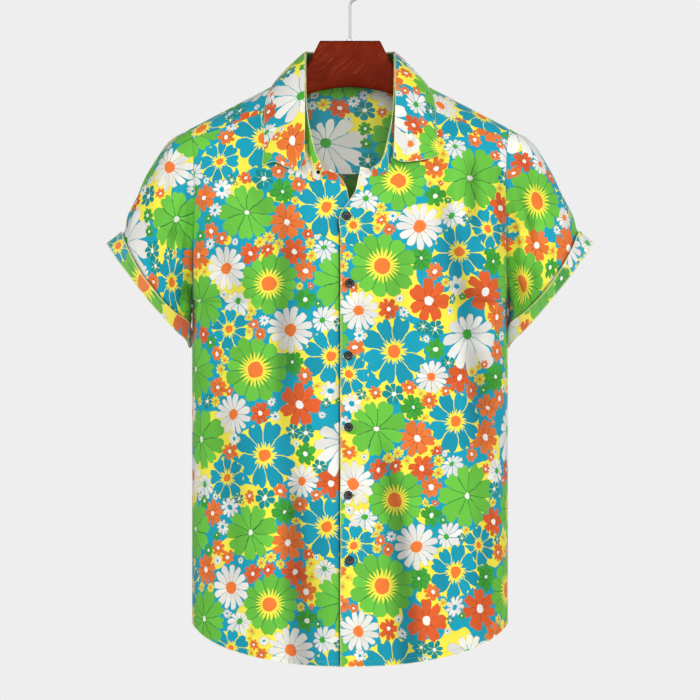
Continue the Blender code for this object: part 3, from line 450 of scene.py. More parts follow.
GREEN = (110, 202, 68)
DEEP_GREEN = (66, 170, 56)
LINE_GREEN = (26, 112, 52)
ORANGE = (242, 124, 52)
DEEP_ORANGE = (230, 98, 42)
WHITE = (242, 241, 234)
YELLOW = (246, 234, 72)
BLUE = (14, 160, 186)
DEEP_BLUE = (4, 140, 170)
TEAL = (6, 146, 150)
OLIVE = (168, 150, 84)
RUST = (158, 56, 26)
PINK = (250, 160, 110)
# pale line along folded edges: worn pale cloth and painted highlight
EDGE_PALE_HIGHLIGHT = (242, 240, 172)
REPEAT = 0.400
LINES_PER_METRE = 1000.0
KINDS = (
    # petals, depth and power of the gaps, notch in the tips, line between petals and outline in
    # metres, middle as a share of the reach, finish, lean, and colours: petal, middle, line
    (9, 0.32, 4.2, 0.08, 0.0009, 0.0, 0.09, 0.0, 0.00, GREEN, WHITE, LINE_GREEN),
    (8, 0.36, 4.6, 0.10, 0.0010, 0.0, 0.19, 1.0, 0.00, BLUE, ORANGE, YELLOW),
    (12, 0.17, 2.6, 0.03, 0.0007, 0.0, 0.25, 0.7, 0.00, GREEN, ORANGE, LINE_GREEN),
    (11, 0.54, 3.6, 0.00, 0.0008, 0.0004, 0.17, 0.0, 0.34, WHITE, DEEP_GREEN, BLUE),
    (13, 0.50, 3.6, 0.00, 0.0005, 0.0005, 0.26, 0.0, 0.00, WHITE, ORANGE, OLIVE),
    (10, 0.54, 3.4, 0.00, 0.0007, 0.0004, 0.22, 0.0, 0.30, WHITE, DEEP_GREEN, BLUE),
    (8, 0.46, 3.2, 0.10, 0.0006, 0.0, 0.18, 0.0, 0.00, ORANGE, WHITE, RUST),
    (10, 0.22, 2.2, 0.00, 0.0006, 0.0, 0.20, 0.0, 0.00, DEEP_BLUE, PINK, YELLOW),
    (8, 0.34, 3.0, 0.06, 0.0007, 0.0, 0.13, 0.0, 0.00, DEEP_GREEN, WHITE, LINE_GREEN),
    (7, 0.48, 3.0, 0.08, 0.0006, 0.0, 0.20, 0.0, 0.00, DEEP_ORANGE, WHITE, RUST),
    (12, 0.50, 3.2, 0.00, 0.0004, 0.0004, 0.30, 0.0, 0.00, WHITE, DEEP_GREEN, OLIVE),
    (7, 0.44, 2.8, 0.00, 0.0005, 0.0, 0.26, 0.0, 0.00, ORANGE, WHITE, RUST),
    (8, 0.42, 2.6, 0.00, 0.0005, 0.0, 0.26, 0.0, 0.00, YELLOW, ORANGE, OLIVE),
    (9, 0.54, 2.6, 0.00, 0.0000, 0.0004, 0.26, 0.0, 0.00, WHITE, BLUE, OLIVE),
    (7, 0.38, 2.6, 0.00, 0.0005, 0.0, 0.22, 0.0, 0.00, DEEP_GREEN, WHITE, LINE_GREEN),
    (7, 0.38, 2.6, 0.00, 0.0005, 0.0, 0.22, 0.0, 0.00, TEAL, WHITE, YELLOW),
)
# finish: 0.4 fills the gaps between petals with yellow, 0.7 puts rays round the middle, 1.0 both
LAYERS = (
    # columns and rows in the repeat, offset, least and greatest reach, kinds by number
    (4, 4, (0.000, 0.000), 0.0340, 0.0410, (0, 1, 2, 3, 0, 1, 3, 2)),
    (5, 5, (0.031, 0.047), 0.0210, 0.0290, (4, 6, 6, 6, 4, 9, 6, 1, 3)),
    (7, 6, (0.013, 0.021), 0.0140, 0.0200, (10, 6, 9, 5, 6, 8, 4, 6)),
    (8, 8, (0.027, 0.008), 0.0085, 0.0140, (11, 12, 13, 9, 11, 15, 6, 14)),
    (10, 10, (0.006, 0.033), 0.0055, 0.0095, (12, 11, 13, 14, 12, 15)),
    (12, 12, (0.011, 0.002), 0.0042, 0.0075, (12, 13, 11, 12, 14, 13)),
)
LAYER_ORDER = (2, 1, 0, 3, 4, 5)
ALLOWED_OVERLAP = 0.21
GROWTH = 0.0050
PETAL_SHADE = 0.20
RAMP_ROWS = 32
LAYOUT_TRIES = 90
CELL_GAP = 0.0004
LEAST_REACH_SHARE = 0.85

# What scales a number into the 0 to 1 that a colour ramp holds

MOST_PETALS = 32.0
MOST_POWER = 8.0
MOST_KINDS = 32.0
REACH_SCALE = 20.0

# Where each piece was cut from the printed cloth, and how far two of them are turned

BACK_ORIGIN = (0.31, 1.90)
YOKE_ORIGIN = (4.57, 1.00)
FRONT_LEFT_ORIGIN = (1.10, 0.40)
FRONT_RIGHT_ORIGIN = (2.464, 0.13)
CUFF_LEFT_ORIGIN = (4.90, 1.211)
CUFF_RIGHT_ORIGIN = (5.43, 2.396)
STAND_ORIGIN = (6.30, 0.40)
LEAF_ORIGIN = (7.26, 1.85)
STAND_TURN = 3
LEAF_TURN = -4

# The other materials' colours in sRGB

STITCHING = ((146, 172, 118), (196, 208, 160))
# dark tubes in the buttonhole gaps, as painted shadow
SLIT_SHADOW = ((14, 26, 16), (50, 66, 46))
DARK_THREAD = ((12, 12, 14), (50, 50, 54))
PLASTIC = ((3, 3, 4), (16, 16, 18))
# painted highlight along the buttons' ring
PLASTIC_RING_HIGHLIGHT = (158, 158, 162)
WOOD = ((92, 20, 3), (130, 36, 8))
WOOD_PORES = (160, 70, 42)
# painted shade along the hanger's top edge
WOOD_TOP_SHADE = (24, 6, 4)
STEEL = ((214, 214, 216), (240, 240, 242))
FLOOR_PALE = ((232, 232, 232), (240, 240, 240))
BACKDROP = (238, 238, 238)

# Cloth colour with painted highlight and shade: where along a mark an effect starts and ends,
# in metres, and its strength

WASHED = (232, 232, 222)
MOTTLE = (0.14, 0.93)
# folded edges: worn pale cloth and painted highlight
EDGE_WEAR_AND_HIGHLIGHT = (0.0004, 0.0011, 0.55)
COVER_SHADE = (0.0007, 0.0028, 0.84)
SEAM_SHADE = (0.0001, 0.0007, 0.22)

# The cloth's relief in metres: heights, and the width and height of raised and sunk lines

WEAVE_HEIGHT = 0.00005
PUCKER_HEIGHT = 0.0011
HEM_BAND = (0.0068, 0.00035)
HEM_GROOVE = (0.0005, -0.0002)
SEAM_RIDGE = (0.0052, 0.00025)

# Stage

CAMERA_FIELD = 0.875
CAMERA_FIELD_Y = -0.03
CAMERA_DISTANCE = 24.0
CAMERA_Z = -0.47425
CAMERA_SENSOR = 36.0
FLOOR_Z = -1.90
FLOOR_RADIUS = 1.5
AMBIENT = 0.18
AMBIENT_FRONT = 0.04
AMBIENT_TOP = 0.03
LIGHT_AIM = Vector((0, 0, -0.45))
LIGHTS = (
    # name, place, size, power
    ("key", (3.2, -1.7, 1.1), 1.3, 74.0),
    ("front", (0.1, -4.6, 0.3), 1.4, 124.0),
    ("fill", (-3.3, -1.6, 0.7), 1.3, 58.0),
    ("back", (0.8, 4.2, 0.3), 2.0, 120.0),
)

MIRROR = np.array([-1, 1, 1])


def smooth(t):
    t = np.clip(t, 0.0, 1.0)
    return t * t * (3 - 2 * t)


def in_order(table):
    rows = np.asarray(table, float)
    return rows[np.argsort(rows[:, 0])]


def on_lines(table, at, column=1):
    rows = in_order(table)
    return np.interp(at, rows[:, 0], rows[:, column])


def on_curve(table, at, column=1):
    """A table's column on a smooth curve through its rows."""
    rows = in_order(table)
    places, values = rows[:, 0], rows[:, column]
    slopes = np.gradient(values, places)
    at = np.clip(at, places[0], places[-1])
    k = np.clip(np.searchsorted(places, at, side="right") - 1, 0, len(places) - 2)
    step = places[k + 1] - places[k]
    t = (at - places[k]) / step
    low, high = values[k], values[k + 1]
    return (
        low * (2 * t**3 - 3 * t**2 + 1)
        + high * (3 * t**2 - 2 * t**3)
        + step * slopes[k] * (t**3 - 2 * t**2 + t)
        + step * slopes[k + 1] * (t**3 - t**2)
    )


def through(points, steps=CURVE_STEPS):
    """A smooth curve through points, with this many steps between each two."""
    points = np.asarray(points, float)
    count = len(points)
    table = np.column_stack([np.arange(count), points])
    at = np.linspace(0, count - 1, (count - 1) * steps + 1)
    return np.column_stack([on_curve(table, at, c + 1) for c in range(points.shape[1])])


def unit(vectors):
    return vectors / np.maximum(np.linalg.norm(vectors, axis=-1, keepdims=True), 1e-12)


# The body's form


def ridge_z(x):
    return SHOULDER_Z - SHOULDER_SLOPE * (np.hypot(x, SHOULDER_ROUND) - SHOULDER_ROUND)


def oval(share):
    return np.maximum(0.0, 1 - np.abs(share) ** OVAL_POWER) ** (1 / OVAL_POWER)


def armhole_half_depth(v):
    return ARMHOLE_HALF_DEPTH * np.sqrt(np.maximum(0.0, np.sin(np.pi * np.clip(v, 0, 1))))


def half_width(v):
    return on_curve(ARMHOLE_LINE, np.maximum(v, 0.0))


def plain_body(x, v, side):
    """The solids' outer surface without folds. v is metres below the armpits where negative, and
    from 0 at the armpits to 1 on the shoulder ridge above them. side is -1 for the front."""
    x, v = np.broadcast_arrays(np.asarray(x, float), np.asarray(v, float))
    share = np.clip(np.abs(x) / half_width(v), 0, 1)
    turn = np.clip(v, 0, 1) * np.pi / 2
    z = np.where(v <= 0, ARMPIT_Z + v, ARMPIT_Z + (ridge_z(x) - ARMPIT_Z) * np.sin(turn))
    depth = on_curve(BODY_DEPTH, np.minimum(z, ARMPIT_Z)) * oval(share) * np.cos(turn)
    depth = depth + armhole_half_depth(v) * (1 - oval(share))
    return np.stack([x, side * depth, z], axis=-1)


def along_line(x, z, x0, z0, x1, z1, bow):
    """How far along a bowed line points lie, from 0 to 1, and how far off it."""
    length = math.hypot(x1 - x0, z1 - z0)
    way_x, way_z = (x1 - x0) / length, (z1 - z0) / length
    along = ((x - x0) * way_x + (z - z0) * way_z) / length
    off = (x - x0) * way_z - (z - z0) * way_x
    return along, off - bow * 4 * along * (1 - along)


def tapered(along, run_in, run_out):
    """A crease's strength: 1 along its middle, down to 0 at its ends."""
    return smooth(along / run_in) * smooth((1 - along) / run_out)


def swell(across, up):
    """Slight unevenness of hanging cloth."""
    total = 0.0
    for k_across, k_up, phase, height in SWELLS:
        total = total + height * np.sin((across * k_across + up * k_up) * 2 * np.pi + phase)
    return total


def folded(x, z, side):
    """How far folds and creases move the body's surface out."""
    total = np.zeros(np.broadcast(x, z).shape)
    for fold_side, top_x, top_z, low_x, low_z, width, depth, run_in in FOLDS:
        if fold_side == side:
            along = np.maximum(0.0, (top_z - z) / (top_z - low_z))
            wide = width * (FOLD_WIDTH[0] + (FOLD_WIDTH[1] - FOLD_WIDTH[0]) * along)
            off = (x - (top_x + (low_x - top_x) * along)) / wide
            total += FOLD_DEPTH * depth * smooth(along / run_in) * np.exp(-off * off)
    for crease_side, x0, z0, x1, z1, bow, width, depth in CREASES:
        if crease_side == side:
            along, off = along_line(x, z, x0, z0, x1, z1, bow)
            strength = CREASE_DEPTH * depth * tapered(along, *CREASE_RUNS)
            skewed = off / (width * np.where(off > 0, *CREASE_SKEW))
            total += strength * np.exp(-skewed * skewed)
    return total


def fold_mark(grid, side):
    """1 on plain cloth, down to 0 in the deepest folds, where shade is painted."""
    return 1 - np.clip(-folded(grid[..., 0], grid[..., 2], side) / FULL_SHADE_DEPTH, 0, 1)


def body_relief(x, z, v, side):
    """How far folds, creases and slight swells move the body's surface out."""
    total = folded(x, z, side) + swell(x + 0.37 * side, z)
    share = np.clip(np.abs(x) / half_width(v), 0, 1)
    return total * (1 - share**8) * smooth((1 - v) / 0.25)


def body(x, v, side):
    """The visible cloth's outer surface, with its folds and creases."""
    points = plain_body(x, v, side)
    step = 0.003
    across = plain_body(x + step, v, side) - plain_body(x - step, v, side)
    rise = plain_body(x, np.minimum(v + step, 1), side) - plain_body(x, v - step, side)
    normal = unit(np.cross(across, rise) * -side)
    blend = smooth((0.985 - np.abs(points[..., 0:1]) / HALF_WIDTH) / 0.06)
    normal = unit(normal * blend + np.array([0.0, side, 0.0]) * (1 - blend))
    relief = body_relief(points[..., 0], points[..., 2], np.asarray(v, float), side)
    return points + normal * relief[..., None]


def v_at(x, z):
    """The v of a height on the body at x."""
    rise = np.clip((z - ARMPIT_Z) / (ridge_z(x) - ARMPIT_Z), 0, 1)
    return np.where(z <= ARMPIT_Z, z - ARMPIT_Z, np.arcsin(rise) / (np.pi / 2))


def v_at_depth(x, depth):
    """The v above the armpits where the body at x is this deep."""
    low, high = np.zeros(np.shape(x)), np.ones(np.shape(x))
    for _ in range(40):
        middle = (low + high) / 2
        deeper = np.abs(plain_body(x, middle, 1)[..., 1]) > depth
        low, high = np.where(deeper, middle, low), np.where(deeper, high, middle)
    return low


def body_height(points):
    """How far points lie outside the upper body, and the way out."""

    def measure(p):
        share = np.clip(np.abs(p[..., 0]) / half_width(0.8), 0, 1)
        ridge = ridge_z(p[..., 0])
        v = v_at(p[..., 0], np.minimum(p[..., 2], ridge))
        depth = np.abs(p[..., 1]) - armhole_half_depth(v) * (1 - oval(share))
        across = depth / (on_curve(BODY_DEPTH, ARMPIT_Z) * np.maximum(oval(share), 0.05))
        return np.hypot(across, (p[..., 2] - ARMPIT_Z) / (ridge - ARMPIT_Z)) - 1

    here = measure(points)
    slope = np.stack([measure(points + axis * 1e-5) - here for axis in np.eye(3)], -1) / 1e-5
    return here / np.linalg.norm(slope, axis=-1), unit(slope)


def pushed_out(points, clearance):
    for _ in range(3):
        away, out = body_height(points)
        points = points + out * np.maximum(0.0, clearance - away)[..., None]
    return points


def off_body(x, z, away):
    """A point on the upper body's front at x and a height, moved out by a distance."""
    if z >= ridge_z(x) - 1e-6:
        point = np.array([x, 0.0, ridge_z(x)])
    else:
        point = plain_body(x, v_at(x, z), -1)
    return point + body_height(point)[1] * away


def hem_v(share):
    share = np.abs(share)
    rise = HEM_SIDE_RISE * share**HEM_SIDE_POWER
    return HEM_Z + rise + HEM_CORNER_RISE * share**HEM_CORNER_POWER - ARMPIT_Z


def yoke_front_v(share):
    x = np.abs(share) * half_width(0.8)
    return v_at(x, ridge_z(x) - YOKE_FRONT_DROP - YOKE_FRONT_FLARE * (YOKE_FRONT_END_X - x))


def yoke_back_v(share):
    return v_at(share * half_width(0.55), YOKE_BACK_Z)


def back_neck_v(share):
    x = np.abs(share) * half_width(0.9)
    inside = np.maximum(0.0, 1 - (share / NECK_SHARE) ** 2)
    return np.where(inside > 1e-9, v_at_depth(x, BACK_NECK_DEPTH * np.sqrt(inside)), 1.0)


def front_top_v(share):
    share = np.abs(share)
    neck = v_at(share * half_width(0.7), on_lines(FRONT_NECKLINE, share))
    return np.where(share < NECK_SHARE, neck, yoke_front_v(share))


# Shells


def lengths(grid, axis):
    """The running length along an axis of a grid of points."""
    steps = np.linalg.norm(np.diff(grid, axis=axis), axis=-1)
    pad = np.zeros_like(np.take(steps, [0], axis=axis))
    return np.concatenate([pad, np.cumsum(steps, axis=axis)], axis=axis)


def run_of(line):
    """The running length of a line of points."""
    return lengths(line[:, None], 0)[:, 0]


def at_runs(line, run, at):
    """A line's points where its run has these lengths."""
    return np.column_stack([np.interp(at, run, line[:, c]) for c in range(3)])


def to_border(grid, axis):
    """How far points lie from the nearer end of their column, or of their row for axis 1."""
    run = lengths(grid, axis)
    return np.minimum(run, np.take(run, [-1], axis=axis) - run)


def square_lengths(grid):
    """The running length of the rows, counting only the part square to the columns."""
    ways = unit(np.gradient(grid, axis=0))
    ways = unit(ways[:, 1:] + ways[:, :-1])
    steps = np.diff(grid, axis=1)
    along = (steps * ways).sum(axis=-1)
    square = np.sqrt(np.maximum(0.0, (steps * steps).sum(axis=-1) - along * along))
    return np.concatenate([np.zeros((len(grid), 1)), np.cumsum(square, axis=1)], axis=1)


def grid_normals(grid, wrap=False):
    if wrap:
        across = np.roll(grid, -1, axis=1) - np.roll(grid, 1, axis=1)
    else:
        across = np.gradient(grid, axis=1)
    return unit(np.cross(across, np.gradient(grid, axis=0)))


def grid_quads(rows, columns, wrap, keep=None):
    """Quads between a grid's points, or those of them that keep says."""
    wide = columns if wrap else columns - 1
    keep = np.ones((rows - 1, wide), bool) if keep is None else keep
    j, i = np.meshgrid(np.arange(rows - 1), np.arange(wide), indexing="ij")
    j, i = j[keep], i[keep]
    after = (i + 1) % columns
    return np.stack(
        [j * columns + i, j * columns + after, (j + 1) * columns + after, (j + 1) * columns + i],
        axis=1,
    )


def ring_faces(count, sides):
    """Quads between rings of points, and a cap on either end."""
    start, end = range(sides)[::-1], range((count - 1) * sides, count * sides)
    return [*grid_quads(count, sides, True).tolist(), list(start), list(end)]


def open_edges(quads):
    """The edges that only one quad has, in its order."""
    edges = np.concatenate([quads[:, [k, (k + 1) % 4]] for k in range(4)])
    keys = np.sort(edges, axis=1)
    _, first, count = np.unique(keys, axis=0, return_index=True, return_counts=True)
    return edges[first[count == 1]]


def shell(name, grid, cloth, out=1, wrap=False, keep=None, thickness=CLOTH, marks=None):
    """A piece of cloth: a grid of outer points, thickened inwards. cloth holds its points' places
    on the flat cloth in metres, and marks how far each lies from sewn and turned lines. Returns
    the piece, its outer points and the ways out there."""
    rows, columns = grid.shape[:2]
    normals = grid_normals(grid, wrap) * out
    points = np.concatenate([grid.reshape(-1, 3), (grid - normals * thickness).reshape(-1, 3)])
    quads = grid_quads(rows, columns, wrap, keep)
    if out < 0:
        quads = quads[:, ::-1]
    inner = rows * columns
    rim = open_edges(quads)
    rim = np.stack([rim[:, 1], rim[:, 0], rim[:, 0] + inner, rim[:, 1] + inner], axis=1)
    faces = np.concatenate([quads, quads[:, ::-1] + inner, rim])
    mesh = bpy.data.meshes.new(name)
    mesh.from_pydata(points.tolist(), [], faces.tolist())
    flat = np.concatenate([cloth.reshape(-1, 2)] * 2)
    corners = np.empty(len(mesh.loops), np.int32)
    mesh.loops.foreach_get("vertex_index", corners)
    places = flat[corners]
    if wrap:
        closing = 2 * cloth[:, -1] - cloth[:, -2]
        row, column = np.divmod(corners % inner, columns)
        quad = column.reshape(-1, 4)
        seam = ((quad == 0) & (quad == columns - 1).any(axis=1)[:, None]).reshape(-1)
        places[seam] = closing[row[seam]]
    layer = mesh.uv_layers.new(name="cloth")
    layer.data.foreach_set("uv", places.astype(np.float32).ravel())
    marks, far = marks or {}, np.full((rows, columns), FAR)
    for label in MARKS:
        values = marks.get(label, far)
        # the inner face takes its own distance for painted shadow
        within = marks.get("cover within", far) if label == "shadow_distance" else values
        mark = mesh.attributes.new(label, "FLOAT", "POINT")
        both = np.concatenate([values.reshape(-1), within.reshape(-1)])
        mark.data.foreach_set("value", both.astype(np.float32))
    inside = np.zeros(len(faces), np.int32)
    inside[len(quads) : 2 * len(quads)] = 1
    mesh.polygons.foreach_set("material_index", inside)
    mesh.validate()
    bm = bmesh.new()
    bm.from_mesh(mesh)
    bmesh.ops.delete(bm, geom=[v for v in bm.verts if not v.link_faces], context="VERTS")
    bm.to_mesh(mesh)
    bm.free()
    mesh.shade_smooth()
    mesh.set_sharp_from_angle(angle=math.radians(50))
    return in_scene(name, mesh), grid, normals


def in_scene(name, data):
    """A new object of a mesh, light or camera, in the scene."""
    thing = bpy.data.objects.new(name, data)
    bpy.context.scene.collection.objects.link(thing)
    return thing


def turned(cloth, origin, degrees):
    """Flat places, turned and moved on the printed cloth."""
    angle = math.radians(degrees)
    spin = np.array([[math.cos(angle), math.sin(angle)], [-math.sin(angle), math.cos(angle)]])
    return cloth @ spin + np.array(origin)


# Body panels


def outer_shares():
    """Shares of the half width from the neck out, closer together towards the side."""
    count = int((1 - NECK_SHARE) * HALF_WIDTH * OUTER_SPREAD / GRID_STEP)
    return NECK_SHARE + (1 - NECK_SHARE) * np.sin(np.linspace(0, np.pi / 2, count))


def front_shares():
    inner = np.linspace(0.20, NECK_SHARE, 12)[:-1]
    return np.concatenate([inner, outer_shares()])


def wide_shares():
    inner = NECK_SHARE * np.sin(np.linspace(0, np.pi / 2, 20))
    half = np.concatenate([inner, outer_shares()[1:]])
    return np.concatenate([-half[:0:-1], half])


def column_vs(low_v, top_v, upper_rows=UPPER_ROWS):
    low = low_v * (1 - np.arange(LOW_ROWS) / LOW_ROWS)
    return np.concatenate([low, top_v * np.linspace(0, 1, upper_rows + 1) ** 1.25])


def front_grid(sign, edge_table, lift):
    """Outer points of a front, in columns from its edge to its side seam."""
    shares = front_shares()
    first = shares[0]
    columns = []
    for k in range(EDGE_COLUMNS):
        share = k / EDGE_COLUMNS
        v = column_vs(hem_v(first * share), front_top_v(first))
        inside = sign * first * half_width(v)
        edge = on_curve(edge_table, plain_body(inside, v, -1)[:, 2])
        columns.append((edge + (inside - edge) * share, v))
    for share in shares:
        v = column_vs(hem_v(share), front_top_v(share))
        columns.append((sign * share * half_width(v), v))
    x = np.stack([column[0] for column in columns], axis=1)
    v = np.stack([column[1] for column in columns], axis=1)
    grid = body(x, v, -1)
    near = smooth((LAP_BLEND[1] - x * sign) / (LAP_BLEND[1] - LAP_BLEND[0]))
    return grid + grid_normals(grid) * sign * (lift * near)[..., None]


def near_leaf(grid):
    """How far points lie from the collar leaf's edges, less the leaf's height over them, for
    painted shadow.
    """
    spots = []
    for which, sign in (("left", 1), ("right", -1)):
        leaf = leaf_side(which)
        for line in (leaf[-1], leaf[:, -1]):
            run = run_of(line)
            fine = at_runs(line, run, np.arange(0, run[-1], LEAF_SPOT_STEP))
            spots.append(fine * np.array([sign, 1, 1]))
    far = np.full(grid.shape[:2], FAR)
    near = np.abs(grid[..., 0]) < LEAF_REACH_X
    for spot in np.concatenate(spots):
        far[near] = np.minimum(far[near], np.linalg.norm(grid[near] - spot, axis=-1))
    return np.maximum(0.0, far - LEAF_SHADE_OFFSET)


def front_flat(grid, sign, origin):
    up = lengths(grid, 0)
    across = grid[:, 0:1, 0] + square_lengths(grid) * sign
    return np.stack([across, up - up[LOW_ROWS]], axis=-1) + np.array(origin)


def make_front(name, sign, edge_table, lift, curl, origin):
    grid = front_grid(sign, edge_table, lift)
    across, up = lengths(grid, 1), lengths(grid, 0)
    normals = grid_normals(grid) * sign
    grid = grid + normals * (curl * np.exp(-across / CURL_WIDTH))[..., None]
    top = up[-1:] - up
    open_top = np.where(np.arange(grid.shape[1]) < EDGE_COLUMNS + 5, top, FAR)
    hem = np.minimum(up, across)
    marks = {
        "hem": hem,
        "seam": np.minimum(top, across[:, -1:] - across),
        "edge": np.minimum(hem, open_top),
        "shadow_distance": near_leaf(grid),
        "fold": fold_mark(grid, -1),
    }
    # painted shadow on the right front beside the left front's edge
    if sign < 0:
        under = np.maximum(0.0, on_curve(LEFT_EDGE, grid[..., 2]) - grid[..., 0])
        marks["shadow_distance"] = np.minimum(marks["shadow_distance"], under * PLACKET_SHADE)
    piece = shell(name, grid, front_flat(grid, sign, origin), sign, marks=marks)[0]
    return piece, grid, normals


def panel_flat(grid, first_row=0):
    """Flat places of a panel, measured from its middle column and a row."""
    up, square = lengths(grid, 0), square_lengths(grid)
    middle = square[:, grid.shape[1] // 2, None]
    return np.stack([square - middle, up - up[first_row]], axis=-1)


def make_back(name, origin):
    shares = wide_shares()
    v = np.stack([column_vs(hem_v(s), yoke_back_v(s), BACK_ROWS) for s in shares], axis=1)
    grid = body(shares * half_width(v), v, 1)
    up = lengths(grid, 0)
    marks = {
        "hem": up,
        "seam": np.minimum(up[-1:] - up, to_border(grid, 1)),
        "edge": up,
        "fold": fold_mark(grid, 1),
        # painted shade on the back's inner face, darkest at the yoke seam
        "cover within": BACK_INSIDE_SHADE[0] + BACK_INSIDE_SHADE[1] * (up[-1:] - up),
    }
    return shell(name, grid, panel_flat(grid, LOW_ROWS) + origin, -1, marks=marks)


def yoke_grid(shares):
    back_rows, front_rows = YOKE_ROWS
    low, front = yoke_back_v(shares), yoke_front_v(shares)
    in_neck = np.abs(shares) < NECK_SHARE - 1e-9
    top = np.where(in_neck, back_neck_v(shares), 1.0)
    front = np.where(in_neck, 1.0, front)
    back_v = low + (top - low) * np.linspace(0, 1, back_rows + 1)[:, None]
    front_v = 1.0 + (front - 1.0) * np.linspace(0, 1, front_rows + 1)[1:, None]
    back = body(shares * half_width(back_v), back_v, 1)
    over = body(shares * half_width(front_v), front_v, -1)
    middle = np.abs(shares[1:] + shares[:-1]) / 2
    keep = np.ones((back_rows + front_rows, len(shares) - 1), bool)
    keep[back_rows:, middle < NECK_SHARE] = False
    return np.concatenate([back, over]), keep


def make_yoke(name, origin):
    grid, keep = yoke_grid(wide_shares())
    seams = np.minimum(to_border(grid, 0), to_border(grid, 1))
    marks = {"seam": seams, "shadow_distance": near_leaf(grid)}
    return shell(name, grid, panel_flat(grid) + origin, -1, keep=keep, marks=marks)


# Sleeves and cuffs


def armhole_loop(sign):
    """Points of the armhole, evenly spaced from the ridge down the front and up the back."""
    turn = np.linspace(0, np.pi, 200)
    rise = np.arcsin(np.sin(turn) ** 2) / np.pi
    v = np.where(turn < np.pi / 2, 1 - rise, rise)
    halves = []
    for side in (-1, 1):
        line = plain_body(sign * half_width(v), v, side)
        run = run_of(line)
        halves.append(at_runs(line, run, np.linspace(0, run[-1], HALF_TURNS + 1)))
    return np.concatenate([halves[0][:-1], halves[1][::-1][:-1]])


def sleeve_ring(share, sign):
    top_x, top_z, low_x, low_z, depth, droop = (
        float(on_curve(SLEEVE_SECTIONS, share, column)) for column in range(1, 7)
    )
    angle = np.arange(SLEEVE_TURNS) * 2 * np.pi / SLEEVE_TURNS
    reach = np.array([top_x - low_x, 0.0, top_z - low_z]) / 2
    middle = np.array([top_x + low_x, 0.0, top_z + low_z]) / 2
    down = np.array([-reach[2], 0.0, reach[0]]) / np.linalg.norm(reach) * -droop
    ring = middle + reach * np.cos(angle)[:, None]
    ring = ring - np.array([0.0, depth, 0.0]) * np.sin(angle)[:, None]
    ring = ring + down * (np.sin(angle) ** 2)[:, None]
    off = (np.abs(angle - np.pi) - UNDERARM_BULGE_TURN) / UNDERARM_BULGE_WIDTH
    ring[:, 0] -= UNDERARM_BULGE * np.exp(-(off**2))
    return ring * np.array([sign, 1.0, 1.0])


def sleeve_relief(shares, sign):
    turn, share = np.meshgrid(TURNS, shares)
    total = swell(turn * 0.45 + 0.2 * sign, share * 0.2) * 1.3
    for turn0, share0, turn1, share1, width, depth in SLEEVE_CREASES:
        along = (share - share0) / (share1 - share0)
        off = (turn - turn0 - (turn1 - turn0) * along + 0.012 * sign) / width
        total += depth * tapered(along, *SLEEVE_CREASE_RUNS) * np.exp(-off * off)
    return total * smooth(share / 0.12)


def sleeve_grid(sign, shares):
    loop = armhole_loop(sign) + np.array([ARMHOLE_GAP * sign, 0, 0])
    start = sleeve_ring(0.0, sign)
    rings = []
    for share in shares:
        fade = (1 - min(1.0, share / ARMHOLE_FADE)) ** 2
        rings.append(sleeve_ring(share, sign) + (loop - start) * fade)
    grid = np.stack(rings)
    grid = grid + grid_normals(grid, True) * sign * sleeve_relief(shares, sign)[..., None]
    return np.roll(grid, HALF_TURNS, axis=1)


def tube_flat(grid):
    """Flat places of a tube unrolled round its axis and cut open along its underside, where its
    columns start. Its front half lies as it hangs, and its back half goes on over the top."""
    axis = unit((grid[-1, HALF_TURNS] - grid[0, HALF_TURNS]) * np.array([1, 0, 1]))
    across = np.array([axis[2], -axis[0]]) * np.sign(axis[0])
    steps = np.diff(grid, axis=1)
    along = steps @ axis
    steps = np.sqrt(np.maximum(0.0, (steps * steps).sum(axis=-1) - along * along))
    run = np.concatenate([np.zeros((len(grid), 1)), np.cumsum(steps, axis=1)], axis=1)
    reach = run - run[:, HALF_TURNS, None]
    return (grid @ axis)[..., None] * axis[[0, 2]] + reach[..., None] * across


def cuff_start():
    """The share of the sleeve's length where the cuff's free edge lies, a column each."""
    return CUFF_FROM + CUFF_NARROWING * (1 - smooth((FROM_UNDERSIDE - 0.01) / 0.10))


def make_sleeve(name, sign, front, front_origin):
    """A sleeve, cut so that its print goes on from the front's at the middle of the armhole."""
    shares = np.linspace(0, 1, SLEEVE_ROWS + 1)
    grid = sleeve_grid(sign, shares)
    along = lengths(grid, 0)
    free = [np.interp(at, shares, along[:, c]) for c, at in enumerate(cuff_start())]
    # painted shadow beside the body and under the cuff's free edge, and painted shade in creases
    beside = np.maximum(0.0, np.abs(grid[..., 0]) - BESIDE_BODY_X)
    beside = BESIDE_SHADE[0] + beside * BESIDE_SHADE[1]
    beside = beside + BESIDE_FADE[0] * smooth((grid[..., 2] - BESIDE_BODY_Z) / BESIDE_FADE[1])
    to_cuff = np.maximum(0.0, np.array(free) - along)
    relief = np.roll(sleeve_relief(shares, sign), HALF_TURNS, axis=1)
    marks = {
        "seam": along,
        "shadow_distance": np.minimum(CUFF_SHADE[0] + to_cuff * CUFF_SHADE[1], beside),
        "fold": 1 - np.clip(-relief / SLEEVE_SHADE_DEPTH, 0, 1),
    }
    panel = front[1][LOW_ROWS:, -1, 2]
    row = int(np.argmin(np.abs(panel - ARMHOLE_MATCH_Z)))
    column = HALF_TURNS + int(np.argmin(np.abs(grid[0, HALF_TURNS:, 2] - panel[row])))
    flat = tube_flat(grid)
    flat += front_flat(front[1], sign, front_origin)[LOW_ROWS + row, -1] - flat[0, column]
    return shell(name, grid, flat, sign, wrap=True, marks=marks)


